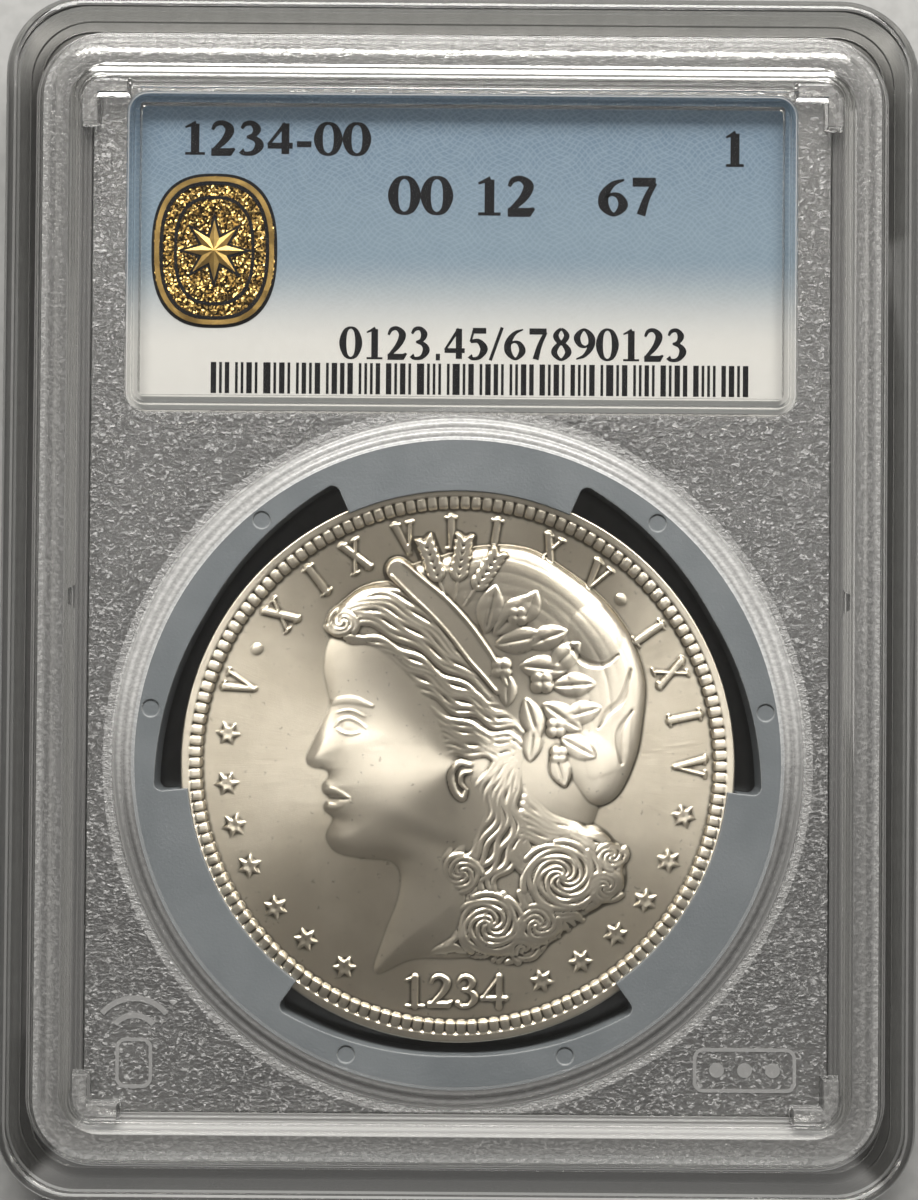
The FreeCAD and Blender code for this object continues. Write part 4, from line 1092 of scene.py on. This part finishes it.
def silver():
    """Struck silver with cartwheel lustre: fine radial flow lines, and painted shade in the hollows."""
    graph = Graph("struck_silver")
    point, x, y, z = graph.place()
    dx = graph.minus(x, COIN_MIDDLE[0])
    dy = graph.minus(y, COIN_MIDDLE[1])
    reach = graph.distance(dx, dy)
    turn = graph.math("ARCTAN2", dy, dx)
    flow = graph.node("ShaderNodeCombineXYZ", {0: graph.times(turn, 170.0),
                                               1: graph.times(reach, 420.0), 2: z}).outputs[0]
    lines = graph.noise(flow, 1.0, 4.0, 0.6)
    cloud = graph.noise(point, 130.0, 4.0, 0.6)
    specks = graph.ramp(graph.noise(point, 2400.0, 2.0, 0.6), 0.66, 0.74)
    rise = graph.ramp(z, COIN_TOP - 0.27 * MM, COIN_TOP + 0.35 * MM)
    tone = graph.blend(graph.ramp(cloud, 0.35, 0.7), rgb(0.64, 0.575, 0.465), rgb(0.79, 0.72, 0.60))
    tone = graph.blend(graph.times(rise, 0.5), tone, rgb(0.86, 0.80, 0.70))
    tone = graph.blend(graph.times(specks, 0.5), tone, rgb(0.30, 0.27, 0.22))
    hollow = graph.node("ShaderNodeAttribute", attribute_name="hollow").outputs["Fac"]
    # Painted shade: darker where the relief lies below its blurred surroundings.
    tone = graph.blend(graph.ramp(hollow, 0.002, 0.05, 0.0, 0.85), tone, rgb(0.12, 0.105, 0.08))
    rough = graph.plus(graph.ramp(lines, 0.2, 0.8, 0.28, 0.36), graph.times(rise, 0.05))
    tangent = graph.node("ShaderNodeTangent", direction_type="RADIAL", axis="Z").outputs[0]
    metal = graph.principled(
        Base_Color=tone, Metallic=1.0, Roughness=rough, Anisotropic=0.88, Tangent=tangent,
        Normal=graph.bump(graph.plus(lines, graph.noise(point, 5200.0, 3.0, 0.6)), 0.012 * MM, 0.5),
    )
    return graph.finish(metal)


def soft_insert():
    """Pale grey elastomer, matt."""
    graph = Graph("insert_elastomer")
    point, x, y, z = graph.place()
    cloud = graph.noise(point, 260.0, 4.0, 0.55)
    fine = graph.noise(point, 5200.0, 2.0, 0.5)
    tone = graph.blend(cloud, rgb(0.185, 0.205, 0.22), rgb(0.265, 0.285, 0.30))
    soft = graph.node("ShaderNodeBevel", {"Radius": 0.16 * MM}, samples=4).outputs[0]
    hard = graph.node("ShaderNodeNewGeometry").outputs["Normal"]
    same = graph.node("ShaderNodeVectorMath", {0: soft, 1: hard}, operation="DOT_PRODUCT").outputs["Value"]
    # Painted highlight: the ring's rounded edges are lightened in colour where the bevelled normal turns from
    # the true one.
    tone = graph.blend(graph.ramp(same, 0.97, 0.75, 0.0, 0.75), tone, rgb(0.62, 0.63, 0.63))
    inputs = {"Height": fine, "Distance": 0.03 * MM, "Strength": 0.5, "Normal": soft}
    grain = graph.node("ShaderNodeBump", inputs)
    paint = graph.principled(
        Base_Color=tone, Roughness=graph.ramp(cloud, 0.3, 0.7, 0.38, 0.55), Normal=grain.outputs[0],
    )
    return graph.finish(paint)


def crosshatch(graph, x, y, pitch, turn):
    """Fine wavy parallel lines, as a share from 0 to 1."""
    c, s = math.cos(math.radians(turn)), math.sin(math.radians(turn))
    along = graph.plus(graph.times(x, c), graph.times(y, s))
    across = graph.plus(graph.times(y, c), graph.times(x, -s))
    wave = graph.times(graph.math("SINE", graph.times(along, 2100.0)), 0.16 * MM)
    phase = graph.times(graph.plus(across, wave), 2 * math.pi / (pitch * MM))
    return graph.ramp(graph.math("SINE", phase), 0.55, 0.95)


def label_paper(name, printed):
    """Coated paper. The front card is printed with a blue wash that fades downwards and a fine line pattern."""
    graph = Graph(name)
    point, x, y, z = graph.place()
    fibre = graph.noise(point, 1800.0, 4.0, 0.65)
    paper = graph.blend(fibre, rgb(0.82, 0.80, 0.755), rgb(0.9, 0.885, 0.84))
    if printed:
        fade = graph.ramp(y, 17.0 * MM, 24.0 * MM)
        deep = graph.ramp(y, 23.0 * MM, 33.0 * MM)
        wash = graph.blend(deep, rgb(0.225, 0.31, 0.385), rgb(0.15, 0.228, 0.315))
        wash = graph.blend(graph.ramp(fibre, 0.35, 0.65, 0.0, 0.25), wash, rgb(0.285, 0.38, 0.46))
        lines = graph.larger(crosshatch(graph, x, y, 0.36, 38.0), crosshatch(graph, x, y, 0.36, -38.0))
        wash = graph.blend(graph.times(lines, 0.22), wash, rgb(0.43, 0.53, 0.62))
        paper = graph.blend(fade, paper, wash)
    else:
        lines = graph.larger(crosshatch(graph, x, y, 0.9, 45.0), crosshatch(graph, x, y, 0.9, -45.0))
        paper = graph.blend(graph.times(lines, 0.5), paper, rgb(0.36, 0.45, 0.53))
    paint = graph.principled(
        Base_Color=paper, Roughness=graph.ramp(fibre, 0.3, 0.7, 0.42, 0.55),
        Normal=graph.bump(fibre, 0.01 * MM, 0.3),
    )
    return graph.finish(paint)


def ink():
    graph = Graph("label_ink")
    point, x, y, z = graph.place()
    grain = graph.noise(point, 2600.0, 3.0, 0.6)
    tone = graph.blend(grain, rgb(0.003, 0.003, 0.004), rgb(0.012, 0.012, 0.014))
    paint = graph.principled(
        Base_Color=tone, Roughness=graph.ramp(grain, 0.3, 0.7, 0.65, 0.85), Specular_IOR_Level=0.15,
        Normal=graph.bump(grain, 0.01 * MM, 0.3),
    )
    return graph.finish(paint)


def glitter_gold(name):
    """Gold foil of small flakes, each turned its own way. Some flakes are painted bright as glints, the rest
    dark.
    """
    graph = Graph(name)
    point, x, y, z = graph.place()
    flakes = graph.node("ShaderNodeTexVoronoi", {"Vector": point, "Scale": 8200.0})
    colour = flakes.outputs["Color"]
    sides = graph.node("ShaderNodeSeparateColor", {0: colour})
    painted_glint = graph.ramp(sides.outputs[0], 0.68, 1.0)
    tone = graph.blend(painted_glint, rgb(0.075, 0.044, 0.011), rgb(0.84, 0.58, 0.20))
    tilt = graph.node("ShaderNodeVectorMath", {0: colour, 1: (0.5, 0.5, 0.5)}, operation="SUBTRACT").outputs[0]
    lean = graph.node("ShaderNodeVectorMath", {0: tilt, 1: (0.75, 0.75, 0.0)}, operation="MULTIPLY").outputs[0]
    normal = graph.node("ShaderNodeNewGeometry").outputs["Normal"]
    turned = graph.node("ShaderNodeVectorMath", {0: normal, 1: lean}, operation="ADD").outputs[0]
    unit = graph.node("ShaderNodeVectorMath", {0: turned}, operation="NORMALIZE").outputs[0]
    metal = graph.principled(
        Base_Color=tone, Metallic=1.0, Roughness=graph.ramp(sides.outputs[1], 0.0, 1.0, 0.22, 0.4), Normal=unit,
    )
    return graph.finish(metal)


def seal_foil():
    """Silver foil whose rainbow from its grating is painted as fixed hues in bands and cells: a painted
    reflection.
    """
    graph = Graph("seal_foil")
    point, x, y, z = graph.place()
    cells = graph.node("ShaderNodeTexVoronoi", {"Vector": point, "Scale": 700.0})
    sides = graph.node("ShaderNodeSeparateColor", {0: cells.outputs["Color"]})
    bands = graph.math("SINE", graph.times(graph.plus(x, y), 900.0))
    hue = graph.plus(graph.times(bands, 0.25), sides.outputs[0])
    # Painted reflection: the rainbow hues are fixed in the colour, not split by direction.
    inputs = {0: graph.math("FRACT", hue), 1: 0.35, 2: 0.8}
    colour = graph.node("ShaderNodeCombineColor", inputs, mode="HSV").outputs[0]
    fine = graph.noise(point, 1500.0, 3.0, 0.6)
    metal = graph.principled(
        Base_Color=colour, Metallic=1.0, Roughness=graph.ramp(fine, 0.3, 0.7, 0.18, 0.32),
        Normal=graph.bump(fine, 0.01 * MM, 0.3),
    )
    return graph.finish(metal)


def tag_material(name, low, high, metal, rough):
    """Film, conductor or chip of the tag: two close tones in a cloud, and a fine surface."""
    graph = Graph(name)
    point, x, y, z = graph.place()
    cloud = graph.noise(point, 700.0, 3.0, 0.6)
    paint = graph.principled(
        Base_Color=graph.blend(cloud, rgb(*low), rgb(*high)), Metallic=metal,
        Roughness=graph.ramp(cloud, 0.3, 0.7, rough, rough + 0.15), Normal=graph.bump(cloud, 0.01 * MM, 0.3),
    )
    return graph.finish(paint)


def dress(node, material):
    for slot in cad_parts[node].material_slots:
        slot.material = material


# ---------------------------------------------------------------- put together

dress("front_shell", clear_plastic("front_plastic", (RIM_RISE, FIELD_RISE), True))
dress("back_shell", clear_plastic("back_plastic", (0.0, BACK_FIELD), False))
dress("insert_ring", soft_insert())
dress("label_card", label_paper("label_front_paper", True))
dress("label_back", label_paper("label_back_paper", False))
dress("label_emblem", glitter_gold("emblem_gold"))
dress("security_seal", seal_foil())
dress("tag_film", tag_material("tag_film_pet", (0.30, 0.33, 0.32), (0.38, 0.41, 0.40), 0.0, 0.25))
dress("tag_antenna", tag_material("tag_copper", (0.62, 0.33, 0.18), (0.80, 0.46, 0.28), 1.0, 0.25))
dress("tag_chip", tag_material("tag_silicon", (0.03, 0.03, 0.035), (0.06, 0.06, 0.065), 0.0, 0.35))
make_coin()
label_ink = ink()
make_print(CARD_HIGH[2], label_ink)
make_emblem(tag_material("emblem_satin_gold", (0.27, 0.175, 0.055), (0.42, 0.28, 0.095), 1.0, 0.3), label_ink)
